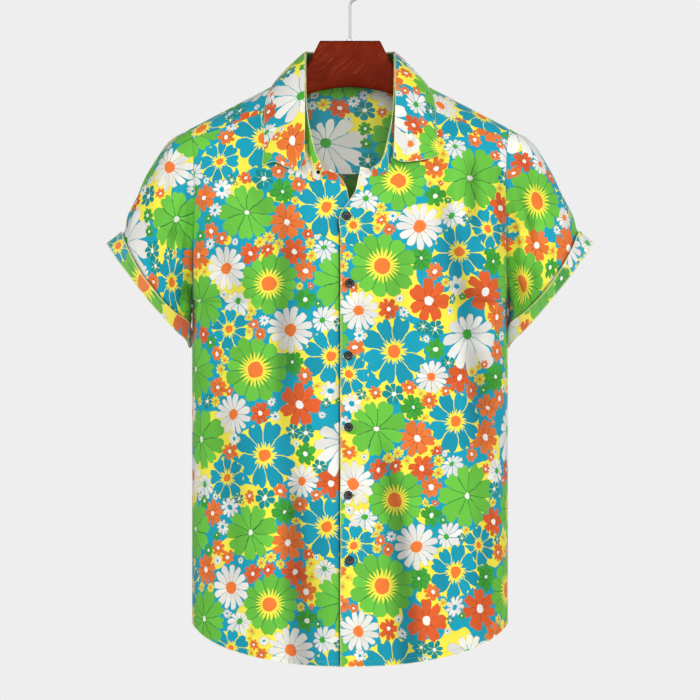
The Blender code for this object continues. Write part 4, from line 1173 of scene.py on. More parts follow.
def make_cuff(name, sign, origin):
    fine = np.linspace(CUFF_FROM, 1, 60)
    dense = sleeve_grid(sign, fine)
    share = np.linspace(0, 1, CUFF_ROWS + 1)
    columns = []
    for c, start in enumerate(cuff_start()):
        at = start + (1 - start) * share
        columns.append(at_runs(dense[:, c], fine, at))
    grid = np.stack(columns, axis=1)
    normals = grid_normals(grid, True) * sign
    free = (1 - share)[:, None]
    angle = TURNS * 2 * np.pi
    wave = 1 + 0.45 * np.sin(angle * 5 + sign) + 0.3 * np.sin(angle * 9)
    under = 1 - smooth(FROM_UNDERSIDE / 0.08)
    lift = CUFF_LAP * (1 - 0.55 * under) + CUFF_FLARE * free**1.5 * wave * (1 - under)
    grid = grid + normals * lift[..., None]
    marks = {"edge": to_border(grid, 0) * CUFF_EDGE_NEARNESS}
    flat = tube_flat(grid) + origin
    return shell(name, grid, flat, sign, wrap=True, thickness=DOUBLE_CLOTH, marks=marks)


# Collar


def neckline():
    """Points of the panels' neckline, one a station, from the back's middle to the front."""
    points = [plain_body(s * half_width(back_neck_v(s)), back_neck_v(s), 1) for s in NECK_STATIONS]
    corner = yoke_front_v(NECK_SHARE)
    for part in (0.0, 0.5, 1.0):
        v = 1 + (corner - 1) * part
        points.append(plain_body(NECK_SHARE * half_width(v), v, -1))
    for share in FRONT_STATIONS:
        v = front_top_v(share)
        points.append(plain_body(share * half_width(v), v, -1))
    return points


def stand_side(which):
    """The stand's seam and top points on one side, from the middle of the back forwards."""
    top = [np.array([x, y, STAND_TOP_Z]) for x, y in STAND_BACK]
    top += [np.array(place) for place in STAND_TOP_FRONT + STAND_TOP_END[which]]
    seam = neckline()
    seam += [off_body(x, z, off) for x, z, off in STAND_SEAM_END[which]]
    return np.array(seam), np.array(top)


def whole_collar(right, left):
    """Both sides as one run, from the wearer's right front end to the left one."""
    return np.concatenate([(right * MIRROR)[:0:-1], left])


def flat_strip(grid):
    """Flat places of a long strip, measured along its first row."""
    along = lengths(grid, 1)[0]
    up = lengths(grid, 0)
    return np.stack([np.broadcast_to(along, up.shape), up], axis=-1)


def make_stand(name, origin):
    sides = {which: stand_side(which) for which in ("right", "left")}
    seams = through(whole_collar(sides["right"][0], sides["left"][0]))
    tops = through(whole_collar(sides["right"][1], sides["left"][1]))
    seams = seams - unit(tops - seams) * STAND_OVERLAP
    share = np.linspace(0, 1, STAND_ROWS + 1)[:, None, None]
    grid = seams * (1 - share) + tops * share
    normals = -grid_normals(grid)
    bulge = STAND_BULGE * np.sin(np.pi * share) + STAND_SEAM_LIFT * (1 - share) ** 4
    grid = grid + normals * bulge
    up = lengths(grid, 0)
    marks = {"seam": up, "edge": np.minimum(up[-1:] - up, to_border(grid, 1))}
    # painted shadow on the stand's inner face round the shoulders
    open_front = smooth((np.abs(grid[..., 1]) - STAND_SHADE_Y[0]) / STAND_SHADE_Y[1])
    marks["cover within"] = STAND_INSIDE_SHADE[0] + STAND_INSIDE_SHADE[1] * open_front
    flat = turned(flat_strip(grid), origin, STAND_TURN)
    return shell(name, grid, flat, -1, thickness=DOUBLE_CLOTH, marks=marks)


def leaf_side(which):
    """Rows of the leaf's underside on one side, from its fold to its edge."""
    folds = [np.array([x, y, STAND_TOP_Z + LEAF_OVER_STAND]) for x, y in STAND_BACK]
    edges = [plain_body(x, v_at_depth(np.array(x), y), 1) for x, y in LEAF_BACK]
    for fold_x, fold_y, fold_z, edge_x, edge_z in LEAF_FRONT[which]:
        folds.append(np.array([fold_x, fold_y, fold_z]))
        edges.append(off_body(edge_x, edge_z, LEAF_CLEARANCE))
    folds, edges = through(folds), through(edges)
    share = np.linspace(0, 1, LEAF_ROWS + 1)[:, None]
    grid = folds * (1 - share[..., None]) + edges * share[..., None]
    out = body_height(grid)[1]
    stations = np.arange(len(folds)) / CURVE_STEPS
    ripple = 1 + 0.5 * np.sin(stations * 1.7 + LEAF_RIPPLE[which])
    lift = LEAF_LIFT * 4 * share * (1 - share) * np.clip(ripple, 0.5, 1.5)
    grid = grid + out * lift[..., None]
    near_end = smooth(stations - stations[-1] + 1.0)
    grid[..., 2] -= on_curve(LEAF_SAG[which], share[:, 0])[:, None] * near_end
    return pushed_out(grid, LEAF_CLEARANCE)


def make_leaf(name, origin):
    right, left = leaf_side("right"), leaf_side("left")
    grid = np.stack([whole_collar(a, b) for a, b in zip(right, left)])
    grid = grid + grid_normals(grid) * DOUBLE_CLOTH
    marks = {"edge": np.minimum(to_border(grid, 0), to_border(grid, 1))}
    flat = turned(flat_strip(grid) * np.array([1, -1]), origin, LEAF_TURN)
    return shell(name, grid, flat, 1, thickness=DOUBLE_CLOTH, marks=marks)


# Buttons


def lathe(name, profile, sides):
    """A closed turned form from (radius, height) points, axis to axis."""
    bm = bmesh.new()
    rings = []
    for radius, height in profile:
        if radius == 0:
            rings.append([bm.verts.new((0, 0, height))])
            continue
        turns = [2 * math.pi * k / sides for k in range(sides)]
        ring = [(radius * math.cos(t), radius * math.sin(t), height) for t in turns]
        rings.append([bm.verts.new(place) for place in ring])
    for low, high in zip(rings, rings[1:]):
        for k in range(sides):
            after = (k + 1) % sides
            ring = [low[k % len(low)], low[after % len(low)]]
            ring += [high[after % len(high)], high[k % len(high)]]
            bm.faces.new(list(dict.fromkeys(ring)))
    bmesh.ops.recalc_face_normals(bm, faces=bm.faces)
    mesh = bpy.data.meshes.new(name)
    bm.to_mesh(mesh)
    bm.free()
    return mesh


def button_mesh(name, radius):
    """A dished button with a raised round rim and four holes."""
    thick, inner = BUTTON_THICKNESS, radius * DISH_RADIUS
    middle, reach = (inner + radius) / 2, (radius - inner) / 2
    dish = thick * DISH_HEIGHT
    profile = [(0.0, dish), (inner * 0.7, dish), (inner * 0.93, thick * 0.68)]
    for turn in np.linspace(0, math.pi, 9):
        profile.append((middle - reach * math.cos(turn), thick * (0.72 + 0.28 * math.sin(turn))))
    profile += [(radius * 0.97, thick * 0.3), (radius * 0.86, 0.0), (0.0, 0.0)]
    plain = in_scene(name, lathe(name, profile, 48))
    holes = bmesh.new()
    away, size = radius * HOLE_REACH, radius * HOLE_RADIUS
    shape = {"cap_ends": True, "segments": 12, "radius1": size, "radius2": size, "depth": thick * 4}
    for k in range(4):
        turn = math.pi * (0.25 + 0.5 * k)
        place = Matrix.Translation((away * math.cos(turn), away * math.sin(turn), 0))
        bmesh.ops.create_cone(holes, matrix=place, **shape)
    cutter_mesh = bpy.data.meshes.new("holes")
    holes.to_mesh(cutter_mesh)
    holes.free()
    cutter = in_scene("holes", cutter_mesh)
    cut = plain.modifiers.new("holes", "BOOLEAN")
    cut.operation, cut.object, cut.solver = "DIFFERENCE", cutter, "EXACT"
    made = bpy.data.meshes.new_from_object(
        plain.evaluated_get(bpy.context.evaluated_depsgraph_get())
    )
    for thing in (plain, cutter):
        bpy.data.objects.remove(thing, do_unlink=True)
    made.shade_smooth()
    made.set_sharp_from_angle(angle=math.radians(38))
    return made


def tube(path, radius, sides):
    """A round wire along points, tapered at both ends and capped: its points and faces."""
    path = np.asarray(path, float)
    way = unit(np.gradient(path, axis=0))
    start = np.array([0.0, 1.0, 0.0]) if abs(way[0][1]) < 0.9 else np.array([1.0, 0.0, 0.0])
    turns = (np.arange(sides) * 2 * np.pi / sides)[:, None]
    rings = []
    for k, (point, along) in enumerate(zip(path, way)):
        a = unit(np.cross(along, start))
        b = np.cross(a, along)
        size = radius * (TUBE_END if k in (0, len(path) - 1) else 1.0)
        rings.append(point + size * (a * np.cos(turns) + b * np.sin(turns)))
    return np.concatenate(rings), ring_faces(len(rings), sides)


def mesh_from(name, parts):
    """One object from (points, faces) pairs."""
    points, faces, count = [], [], 0
    for part_points, part_faces in parts:
        points.append(part_points)
        faces += [tuple(index + count for index in face) for face in part_faces]
        count += len(part_points)
    mesh = bpy.data.meshes.new(name)
    mesh.from_pydata(np.concatenate(points).tolist(), [], faces)
    bm = bmesh.new()
    bm.from_mesh(mesh)
    bmesh.ops.recalc_face_normals(bm, faces=bm.faces)
    bm.to_mesh(mesh)
    bm.free()
    mesh.shade_smooth()
    return in_scene(name, mesh)


def button_place(point, out):
    turn = Vector(out).to_track_quat("Z", "Y").to_matrix().to_4x4()
    return Matrix.Translation(Vector(point)) @ turn


def thread_parts(place, radius):
    """Two crossed threads over a button's middle."""
    parts = []
    spot = radius * HOLE_REACH / math.sqrt(2)
    top = BUTTON_THICKNESS * DISH_HEIGHT + THREAD_LIFT
    for way in (1, -1):
        for shift in (-THREAD_RADIUS, THREAD_RADIUS):
            line = []
            for t in np.linspace(-THREAD_END, THREAD_END, 7):
                height = top - THREAD_DIP * max(0.0, abs(t) - THREAD_BEND)
                x, y = spot * t + shift, spot * t * way - shift * way
                line.append(place @ Vector((x, y, height)))
            parts.append(tube([tuple(p) for p in line], THREAD_RADIUS, 6))
    return parts


# Sewing


def stitch_parts(line, normals):
    """Short raised stitches along a line of points on the cloth."""
    run = run_of(line)
    parts = []
    for k in range(int(run[-1] / STITCH_PITCH)):
        at = np.linspace(k * STITCH_PITCH, k * STITCH_PITCH + STITCH_LENGTH, len(STITCH_RISE))
        rise = unit(at_runs(normals, run, at)) * np.array(STITCH_RISE)[:, None]
        parts.append(tube(at_runs(line, run, at) + rise, STITCH_RADIUS, 4))
    return parts


def grid_line(grid, normals, way, at):
    """Points of a line over a grid and the ways out there. It runs at a distance from the grid's
    first row, or its first column where way is across, or from the last where at is negative."""
    if way == "up":
        grid, normals = np.swapaxes(grid, 0, 1), np.swapaxes(normals, 0, 1)
    run = lengths(grid, 1)
    places = np.broadcast_to(at if at >= 0 else run[:, -1] + at, len(run))
    cuts = [
        [at_runs(row, row_run, place)[0] for row, row_run, place in zip(values, run, places)]
        for values in (grid, normals)
    ]
    return np.array(cuts[0]), np.array(cuts[1])


def sew(made):
    """The visible rows of stitches, a piece of sewing for each piece of cloth."""
    rows = {}
    for name, way, at, first, last in STITCH_ROWS:
        _, grid, normals = made[name]
        if name == "cloth_yoke":
            grid, normals = grid - normals * (CLOTH + STITCH_OFF_LINING), -normals
        line, out = grid_line(grid, normals, way, at)
        rows.setdefault(name, []).extend(stitch_parts(line[first:last], out[first:last]))
    sewing = {}
    for name, parts in rows.items():
        sewing[name] = mesh_from(name.replace("cloth", "stitches"), parts)
    return sewing


def on_front(x, z, step=0.004):
    """A point on the front, the way across and up there, and the way out."""
    v = float(v_at(x, z))
    around = body(x + np.array([0, -step, step, 0, 0]), v + np.array([0, 0, 0, -step, step]), -1)
    across, up = around[2] - around[1], around[4] - around[3]
    return around[0], unit(across), unit(up), unit(np.cross(across, up))


def buttonhole_parts(x, z, shift):
    """A worked buttonhole on the left front: its bound edge, and a dark tube in its slit as painted
    shadow.
    """
    point, across, up, out = on_front(x, z)
    middle = point + out * (LAP + BUTTONHOLE_LIFT) + across * shift
    turns = np.linspace(0, 2 * np.pi, 41)
    loop = middle + across * squared(np.cos(turns), 0.35)[:, None] * BUTTONHOLE_LENGTH / 2
    loop = loop + up * squared(np.sin(turns), 0.7)[:, None] * BUTTONHOLE_WIDTH / 2
    bound = [tube(loop, CORD_RADIUS, 6)]
    for k in range(int(BUTTONHOLE_LENGTH / BAR_PITCH)):
        bar = middle + across * ((k + 0.5) * BAR_PITCH - BUTTONHOLE_LENGTH / 2)
        for way in (-1, 1):
            start = bar + up * (way * BAR_START)
            end = bar + up * (way * (BUTTONHOLE_WIDTH / 2 + BAR_OVERHANG))
            arch = np.array([start, (start + end) / 2 + out * BAR_RISE, end])
            bound.append(tube(arch, BAR_RADIUS, 4))
    ends = np.linspace(-0.46, 0.46, 5)[:, None] * BUTTONHOLE_LENGTH
    return bound, [tube(middle + across * ends + out * SLIT_LIFT, SLIT_RADIUS, 6)]


# Node trees


def linear(colour):
    """sRGB 0 to 255 as the shader's linear values."""
    share = [c / 255 for c in colour]
    made = [c / 12.92 if c <= 0.04045 else ((c + 0.055) / 1.055) ** 2.4 for c in share]
    return (*made, 1.0)


class Term:
    """A value in a node tree. Arithmetic on it adds Math nodes."""

    def __init__(self, tree, socket):
        self.tree = tree
        self.socket = socket

    def math(self, operation, *others):
        node = self.tree.nodes.new("ShaderNodeMath")
        node.operation = operation
        for slot, value in zip(node.inputs, (self, *others)):
            put(self.tree, slot, value)
        return Term(self.tree, node.outputs[0])

    def __add__(self, other):
        return self.math("ADD", other)

    def __sub__(self, other):
        return self.math("SUBTRACT", other)

    def __rsub__(self, other):
        return (self * -1.0) + other

    def __mul__(self, other):
        return self.math("MULTIPLY", other)

    def __truediv__(self, other):
        return self.math("DIVIDE", other)

    def __pow__(self, other):
        return self.math("POWER", other)

    def __lt__(self, other):
        return self.math("LESS_THAN", other)

    def __gt__(self, other):
        return self.math("GREATER_THAN", other)


def put(tree, slot, value):
    if isinstance(value, Term):
        tree.links.new(value.socket, slot)
    else:
        slot.default_value = value


def add_node(tree, kind, values=(), output=0, **settings):
    """Adds a node and returns one of its outputs. Sockets go by name or number."""
    node = tree.nodes.new(kind)
    for name, value in settings.items():
        setattr(node, name, value)
    for slot, value in dict(values).items():
        put(tree, node.inputs[slot], value)
    return Term(tree, node.outputs[output])


def vector(tree, operation, *values):
    return add_node(tree, "ShaderNodeVectorMath", enumerate(values), operation=operation)


def noise(tree, place, scale, output=0, dimensions="3D", **values):
    """A noise texture: its value, or with output 1 its colour."""
    values = {"Vector": place, "Scale": scale, **values}
    return add_node(tree, "ShaderNodeTexNoise", values, output, noise_dimensions=dimensions)


def object_place(tree):
    return add_node(tree, "ShaderNodeTexCoord", output=3)


def mixed(tree, share, a, b):
    """Colour a, or b where share is 1."""
    values = {0: share, 6: a, 7: b}
    return add_node(tree, "ShaderNodeMix", values, output=2, data_type="RGBA")


def flower_layout():
    """Each layer's flowers in one repeat, a row a cell: place in the cell, turn, reach and kind,
    or no kind where a cell is left out. Each takes the clearest of a few places tried."""
    rng = np.random.default_rng(7)
    placed, layers = [], []
    for columns, rows, offset, least, most, kinds in LAYERS:
        cell = np.array([REPEAT / columns, REPEAT / rows])
        made = [None] * (columns * rows)
        for index in rng.permutation(columns * rows):
            corner = np.array([index % columns, index // columns]) * cell + offset
            reach = least + (most - least) * rng.random()
            room = np.maximum(cell / 2 - reach - CELL_GAP, 0.0)
            tries = corner + cell / 2 + (rng.random((LAYOUT_TRIES, 2)) * 2 - 1) * room
            clear = np.full(len(tries), FAR)
            for x, y, other in placed:
                apart = np.abs(tries - (x, y)) % REPEAT
                apart = np.minimum(apart, REPEAT - apart)
                clear = np.minimum(clear, np.hypot(*apart.T) - other)
            best = int(np.argmax(clear))
            reach = min(most, cell.min() / 2 - CELL_GAP, max(reach, clear[best] + GROWTH))
            reach = min(reach, (cell / 2 - np.abs(tries[best] - corner - cell / 2)).min())
            if clear[best] < reach * (1 - 2 * ALLOWED_OVERLAP):
                reach = clear[best] / (1 - 2 * ALLOWED_OVERLAP)
            if reach < least * LEAST_REACH_SHARE:
                made[index] = (0.5, 0.5, 0.0, 0.0, 0)
                continue
            placed.append((*tries[best], reach))
            share = (tries[best] - corner) / cell
            made[index] = (*share, rng.random(), reach, kinds[rng.integers(len(kinds))])
        layers.append(made)
    return layers


def lookup(tree, index, rows):
    """Four values from a table by row number, held in constant colour ramps."""
    found = None
    for start in range(0, len(rows), RAMP_ROWS):
        node = tree.nodes.new("ShaderNodeValToRGB")
        ramp = node.color_ramp
        ramp.interpolation = "CONSTANT"
        while len(ramp.elements) > 1:
            ramp.elements.remove(ramp.elements[-1])
        for number, row in enumerate(rows[start : start + RAMP_ROWS]):
            if number == 0:
                element = ramp.elements[0]
                element.position = 0.0
            else:
                element = ramp.elements.new(number / RAMP_ROWS)
            element.color = row
        put(tree, node.inputs[0], (index + (0.5 - start)) / float(RAMP_ROWS))
        values, last = Term(tree, node.outputs[0]), Term(tree, node.outputs[1])
        if found:
            past = index > (start - 0.5)
            values = mixed(tree, past, found[0], values)
            last = found[1] + (last - found[1]) * past
        found = (values, last)
    return found


def parts_of(tree, value):
    node = tree.nodes.new("ShaderNodeSeparateXYZ")
    put(tree, node.inputs[0], value)
    return [Term(tree, socket) for socket in node.outputs]


def new_group(name, inputs, outputs):
    """A node group. inputs and outputs are (name, socket kind) pairs."""
    tree = bpy.data.node_groups.new(name, "ShaderNodeTree")
    for way, sockets in (("INPUT", inputs), ("OUTPUT", outputs)):
        for socket, kind in sockets:
            tree.interface.new_socket(socket, in_out=way, socket_type=f"NodeSocket{kind}")
    given = tree.nodes.new("NodeGroupInput")
    return tree, [Term(tree, socket) for socket in given.outputs[: len(inputs)]]


def group_outputs(tree, *values):
    node = tree.nodes.new("NodeGroupOutput")
    for socket, value in zip(node.inputs, values):
        put(tree, socket, value)


def flower_group():
    """One flower: the way from its middle in metres and its facts in, colour and inside out."""
    tree, (way, kind, turn, reach) = new_group(
        "flower",
        (("Way", "Vector"), ("Kind", "Float"), ("Turn", "Float"), ("Reach", "Float")),
        (("Colour", "Color"), ("Inside", "Float")),
    )
    tables = [[], [], [], [], []]
    for petals, depth, power, notch, line, rim, middle, finish, lean, *colours in KINDS:
        petal, heart, dark = (linear(colour) for colour in colours)
        shape = (petals / MOST_PETALS, depth, power / MOST_POWER, notch)
        sizes = (line * LINES_PER_METRE / 2, rim * LINES_PER_METRE, middle, finish)
        for table, row in zip(tables, (shape, sizes, (*petal[:3], lean), heart, dark)):
            table.append(row)
    found = [lookup(tree, kind, table) for table in tables]
    (shape, notch), (sizes, finish), (petal, lean), (heart, _), (dark, _) = found
    petals, depth, power = parts_of(tree, shape)
    line, rim, middle = parts_of(tree, sizes)
    x, y, _ = parts_of(tree, way)
    far = (x * x + y * y).math("SQRT")
    angle = y.math("ARCTAN2", x)
    petals = petals * MOST_PETALS
    phase = angle * petals / (2 * math.pi) + turn * 7.0
    phase = phase + (angle * 2.0 + turn * 23.0).math("SINE") * 0.16
    across = phase.math("PINGPONG", 0.5) * 2.0
    number = (phase + 0.5).math("FLOOR").math("FLOORED_MODULO", petals)
    seed = {"W": number + turn * 50.0}
    uneven = add_node(tree, "ShaderNodeTexWhiteNoise", seed, noise_dimensions="1D")
    longer = (angle + turn * (2 * math.pi)).math("COSINE") * lean + 0.93
    petal = vector(tree, "SCALE", petal)
    put(tree, petal.socket.node.inputs["Scale"], 1.0 - uneven * PETAL_SHADE)
    longer = (longer + uneven * 0.13) * reach
    dip = (1.0 - across * 3.5).math("MAXIMUM", 0.0)
    edge = (1.0 - (across ** (power * MOST_POWER)) * depth - dip * notch) * longer
    gap = ((1.0 - across) * far * (math.pi * LINES_PER_METRE)) / petals < line
    colour = mixed(tree, gap, petal, dark)
    outline = ((edge - far) * LINES_PER_METRE) < rim
    colour = mixed(tree, outline, colour, linear(OLIVE))
    filled = ((finish - 0.7).math("ABSOLUTE") > 0.2) * (finish > 0.2)
    filled = filled * (far < longer * 0.98)
    inside = far < edge
    colour = mixed(tree, filled * (1.0 - inside), colour, linear(YELLOW))
    size = middle * reach
    rays = (phase * 2.0).math("PINGPONG", 0.5) * 2.2 + 1.15
    spiked = (far < size * rays) * (finish > 0.6)
    colour = mixed(tree, spiked, colour, linear(YELLOW))
    colour = mixed(tree, far < size, colour, heart)
    inside = inside.math("MAXIMUM", filled)
    group_outputs(tree, colour, inside)
    return tree


def flower_layer(tree, flowers, place, under, layer, made):
    """Draws one layer's flowers over a colour. place is in metres, as x and y."""
    columns, rows, offset = layer[:3]
    cell = (REPEAT / columns, REPEAT / rows)
    at, number = [], []
    for value, start, size, count in zip(place, offset, cell, (columns, rows)):
        share = (value - start) / size
        at.append(share.math("FRACT") * size)
        number.append(share.math("FLOOR").math("FLOORED_MODULO", float(count)))
    index = number[1] * float(columns) + number[0]
    places, reaches = [], []
    for share_x, share_y, turn, reach, kind in made:
        places.append((share_x, share_y, turn, (kind + 1) / MOST_KINDS if reach else 0.0))
        reaches.append((reach * REACH_SCALE, 0.0, 0.0, 1.0))
    facts, code = lookup(tree, index, places)
    share_x, share_y, turn = parts_of(tree, facts)
    reach = parts_of(tree, lookup(tree, index, reaches)[0])[0] / REACH_SCALE
    off = {0: at[0] - share_x * cell[0], 1: at[1] - share_y * cell[1]}
    way = add_node(tree, "ShaderNodeCombineXYZ", off)
    group = tree.nodes.new("ShaderNodeGroup")
    group.node_tree = flowers
    for slot, value in enumerate((way, code * MOST_KINDS - 1.0, turn, reach)):
        put(tree, group.inputs[slot], value)
    inside = Term(tree, group.outputs[1]) * (code > 0.01)
    return mixed(tree, inside, under, Term(tree, group.outputs[0]))


def print_group():
    """The flower print: cloth place in metres in, colour out."""
    tree, (place,) = new_group("flower_print", (("Place", "Vector"),), (("Colour", "Color"),))
    wobble = noise(tree, place, 60.0, 1, "2D", Roughness=0.6)
    wobble = vector(tree, "MULTIPLY_ADD", wobble, (0.0050, 0.0050, 0.0), place)
    patches = noise(tree, place, 16.0, 0, "2D", Detail=1.0)
    colour = mixed(tree, patches > 0.55, linear(BLUE), linear(YELLOW))
    at = parts_of(tree, wobble)[:2]
    flowers, layout = flower_group(), flower_layout()
    for number in LAYER_ORDER:
        colour = flower_layer(tree, flowers, at, colour, LAYERS[number], layout[number])
    group_outputs(tree, colour)
    return tree


def new_material(name):
    material = bpy.data.materials.new(name)
    material.use_nodes = True
    return material, material.node_tree, material.node_tree.nodes["Principled BSDF"]


def set_shader(shader, **values):
    for name, value in values.items():
        shader.inputs[name.replace("_", " ")].default_value = value


def marked(tree, label):
    return add_node(tree, "ShaderNodeAttribute", output="Fac", attribute_name=label)


def fades(tree, value, start, end):
    """1 up to start, 0 from end on."""
    return add_node(
        tree,
        "ShaderNodeMapRange",
        {0: value, 1: start, 2: end, 3: 1.0, 4: 0.0},
        interpolation_type="SMOOTHSTEP",
    )


def effect(tree, mark, start, end, strength):
    """The share in which a mark's effect is at work."""
    return fades(tree, mark, start, end) * strength


def cloth_material(name, print_tree, washed, light=1.0):
    """Printed cotton. washed is how far its colour is faded, and light scales its brightness: above
    1 it is painted light.
    """
    material, tree, shader = new_material(name)
    place = add_node(tree, "ShaderNodeUVMap", uv_map="cloth")
    group = tree.nodes.new("ShaderNodeGroup")
    group.node_tree = print_tree
    put(tree, group.inputs[0], place)
    colour = mixed(tree, washed, Term(tree, group.outputs[0]), linear(WASHED))
    hem, seam, edge, shadow_distance, fold = (marked(tree, label) for label in MARKS)
    # a pale line along folded edges: worn pale cloth and painted highlight
    colour = mixed(tree, effect(tree, edge, *EDGE_WEAR_AND_HIGHLIGHT), colour, linear(EDGE_PALE_HIGHLIGHT))
    # mottle, scaled by light; above 1 this is painted light
    shade = noise(tree, place, 900.0) * (MOTTLE[0] * light) + MOTTLE[1] * light
    # painted shadow beside covering edges, painted shade at seams and in folds
    shade = shade * (1.0 - effect(tree, shadow_distance, *COVER_SHADE))
    shade = shade * (1.0 - effect(tree, seam, *SEAM_SHADE))
    shade = shade * (fold * FOLD_SHADE + (1.0 - FOLD_SHADE))
    colour = vector(tree, "SCALE", colour)
    put(tree, colour.socket.node.inputs["Scale"], shade)
    put(tree, shader.inputs["Base Color"], colour)
    band = (hem < HEM_BAND[0]) * HEM_BAND[1]
    groove = ((hem - HEM_STITCHES).math("ABSOLUTE") < HEM_GROOVE[0]) * HEM_GROOVE[1]
    ridge = (seam < SEAM_RIDGE[0]) * SEAM_RIDGE[1]
    raise_bumps(tree, shader, weave(tree, place) + band + groove + ridge, 0.7, 1.0)
    set_shader(
        shader, Roughness=0.78, Sheen_Weight=0.12, Sheen_Roughness=0.4, Specular_IOR_Level=0.22
    )
    return material


def raise_bumps(tree, shader, height, strength, distance):
    values = {"Height": height, "Strength": strength, "Distance": distance}
    put(tree, shader.inputs["Normal"], add_node(tree, "ShaderNodeBump", values))


def weave(tree, place):
    """A plain weave's height: threads 0.4 mm apart, and slight puckers."""
    values = {"Vector": place, "Scale": 390.0, "Distortion": 0.6, "Detail": 1.0}
    warp, weft = (
        add_node(tree, "ShaderNodeTexWave", values, 1, wave_type="BANDS", bands_direction=way)
        for way in ("X", "Y")
    )
    puckers = noise(tree, place, 55.0, Detail=3.0)
    return warp * weft * WEAVE_HEIGHT + puckers * PUCKER_HEIGHT


def thread_material():
    material, tree, shader = new_material("thread")
    values = {"Vector": object_place(tree), "Scale": 900.0, "Distortion": 1.0}
    twist = add_node(tree, "ShaderNodeTexWave", values, bands_direction="DIAGONAL")
    colour = mixed(tree, twist, *map(linear, STITCHING))
    put(tree, shader.inputs["Base Color"], colour)
    set_shader(shader, Roughness=0.6, Sheen_Weight=0.2)
    return material


def noise_material(name, scale, colours, rough=None, **values):
    """A material of two colours mixed by noise. rough is how far the noise raises its roughness,
    and the roughness that it starts from."""
    material, tree, shader = new_material(name)
    flecks = noise(tree, object_place(tree), scale)
    put(tree, shader.inputs["Base Color"], mixed(tree, flecks, *map(linear, colours)))
    if rough:
        put(tree, shader.inputs["Roughness"], flecks * rough[0] + rough[1])
    set_shader(shader, **values)
    return material


def button_material():
    """Black plastic, with a pale painted highlight along the ring where the dish meets the rim."""
    material, tree, shader = new_material("button_black")
    place = object_place(tree)
    swirl = noise(tree, place, 240.0, Detail=4.0, Distortion=1.4)
    colour = mixed(tree, swirl, *map(linear, PLASTIC))
    x, y, _ = parts_of(tree, place)
    far = (x * x + y * y).math("SQRT")
    # the painted highlight ring
    ring = effect(tree, (far - BUTTON_RADIUS * RING_HIGHLIGHT_RADIUS).math("ABSOLUTE"), *RING_HIGHLIGHT)
    colour = mixed(tree, ring, colour, linear(PLASTIC_RING_HIGHLIGHT))
    put(tree, shader.inputs["Base Color"], colour)
    put(tree, shader.inputs["Roughness"], noise(tree, place, 2600.0) * 0.12 + 0.24)
    set_shader(shader, Specular_IOR_Level=0.14)
    return material


def wood_material():
    """Red-brown lacquered wood with fine, bowed, lighter pores, and painted shade along its top
    edge.
    """
    material, tree, shader = new_material("mahogany")
    place = object_place(tree)
    bent = noise(tree, place, 26.0, 1)
    bent = vector(tree, "MULTIPLY_ADD", bent, (0.020, 0.0, 0.020), place)
    x, y, z = parts_of(tree, bent)
    x, z = x - GRAIN_MIDDLE[0], z - GRAIN_MIDDLE[1]
    far = (x * x + z * z).math("SQRT")
    turn = z.math("ARCTAN2", x)
    lines = add_node(tree, "ShaderNodeCombineXYZ", {0: far * 1000.0, 1: turn * 1.6, 2: y * 90.0})
    pores = noise(tree, lines, 1.0, Detail=1.0)
    bands = add_node(tree, "ShaderNodeCombineXYZ", {0: far * 130.0, 1: turn * 4.0, 2: y * 60.0})
    grain = noise(tree, bands, 1.0, Detail=5.0)
    patches = noise(tree, place, 70.0)
    colour = mixed(tree, grain, *map(linear, WOOD))
    streak = (1.0 - fades(tree, pores, 0.54, 0.66)) * (1.0 - fades(tree, patches, 0.34, 0.58))
    colour = mixed(tree, streak * 0.55, colour, linear(WOOD_PORES))
    # painted shade along the top edge
    shaded_top = parts_of(tree, place)[2] > HANGER_SECTIONS[0][1] - HANGER_TOP_SHADE
    colour = mixed(tree, shaded_top * 0.75, colour, linear(WOOD_TOP_SHADE))
    put(tree, shader.inputs["Base Color"], colour)
    raise_bumps(tree, shader, grain, 0.1, 0.001)
    set_shader(shader, Roughness=0.55, Specular_IOR_Level=0.04)
    return material


# Hanger


def squared(turn, power):
    return np.sign(turn) * np.abs(turn) ** power


def hanger_rings():
    """Sections of one half of the hanger, from its middle to its tip."""
    table = np.array(HANGER_SECTIONS)
    neck, arm = np.linspace(0, HANGER_ARM_X, 60), np.linspace(HANGER_ARM_X, HANGER_TIP_X, 60)
    turns = (np.arange(HANGER_SIDES) + 0.5) * 2 * np.pi / HANGER_SIDES
    rings = []
    for x in np.concatenate([neck, arm[1:]]):
        top, low, deep = (float(np.interp(x, table[:, 0], table[:, c])) for c in (1, 2, 3))
        rounded = smooth((x - HANGER_ROUNDING[0]) / HANGER_ROUNDING[1])
        if x > HANGER_ARM_X:
            wall = SOLID_WALL / math.cos(math.atan(SHOULDER_SLOPE))
            top = float(ridge_z(x)) - wall - HANGER_CLEARANCE
            share = (x - HANGER_ARM_X) / (HANGER_TIP_X - HANGER_ARM_X)
            low = top - (HANGER_ARM_HEIGHT - HANGER_ARM_TAPER * share)
        past = max(0.0, (x - HANGER_TIP_ROUND[0]) / HANGER_TIP_ROUND[1])
        tip = HANGER_TIP_END + (1 - HANGER_TIP_END) * math.sqrt(max(0.0, 1 - past**2))
        power = HANGER_CORNERS[0] + HANGER_CORNERS[1] * rounded
        y = deep * tip * squared(np.cos(turns), power)
        z = (top + low) / 2 + (top - low) / 2 * tip * squared(np.sin(turns), power)
        crown = HANGER_CROWN * rounded * (y / deep) ** 2 * (np.sin(turns) > 0)
        rings.append(np.column_stack([np.full(HANGER_SIDES, x), y, z - crown]))
    return rings


def make_hanger(name):
    half = hanger_rings()
    rings = [ring * MIRROR for ring in half[:0:-1]] + half
    piece = mesh_from(name, [(np.concatenate(rings), ring_faces(len(rings), HANGER_SIDES))])
    piece.data.set_sharp_from_angle(angle=math.radians(35))
    return piece


# The stage


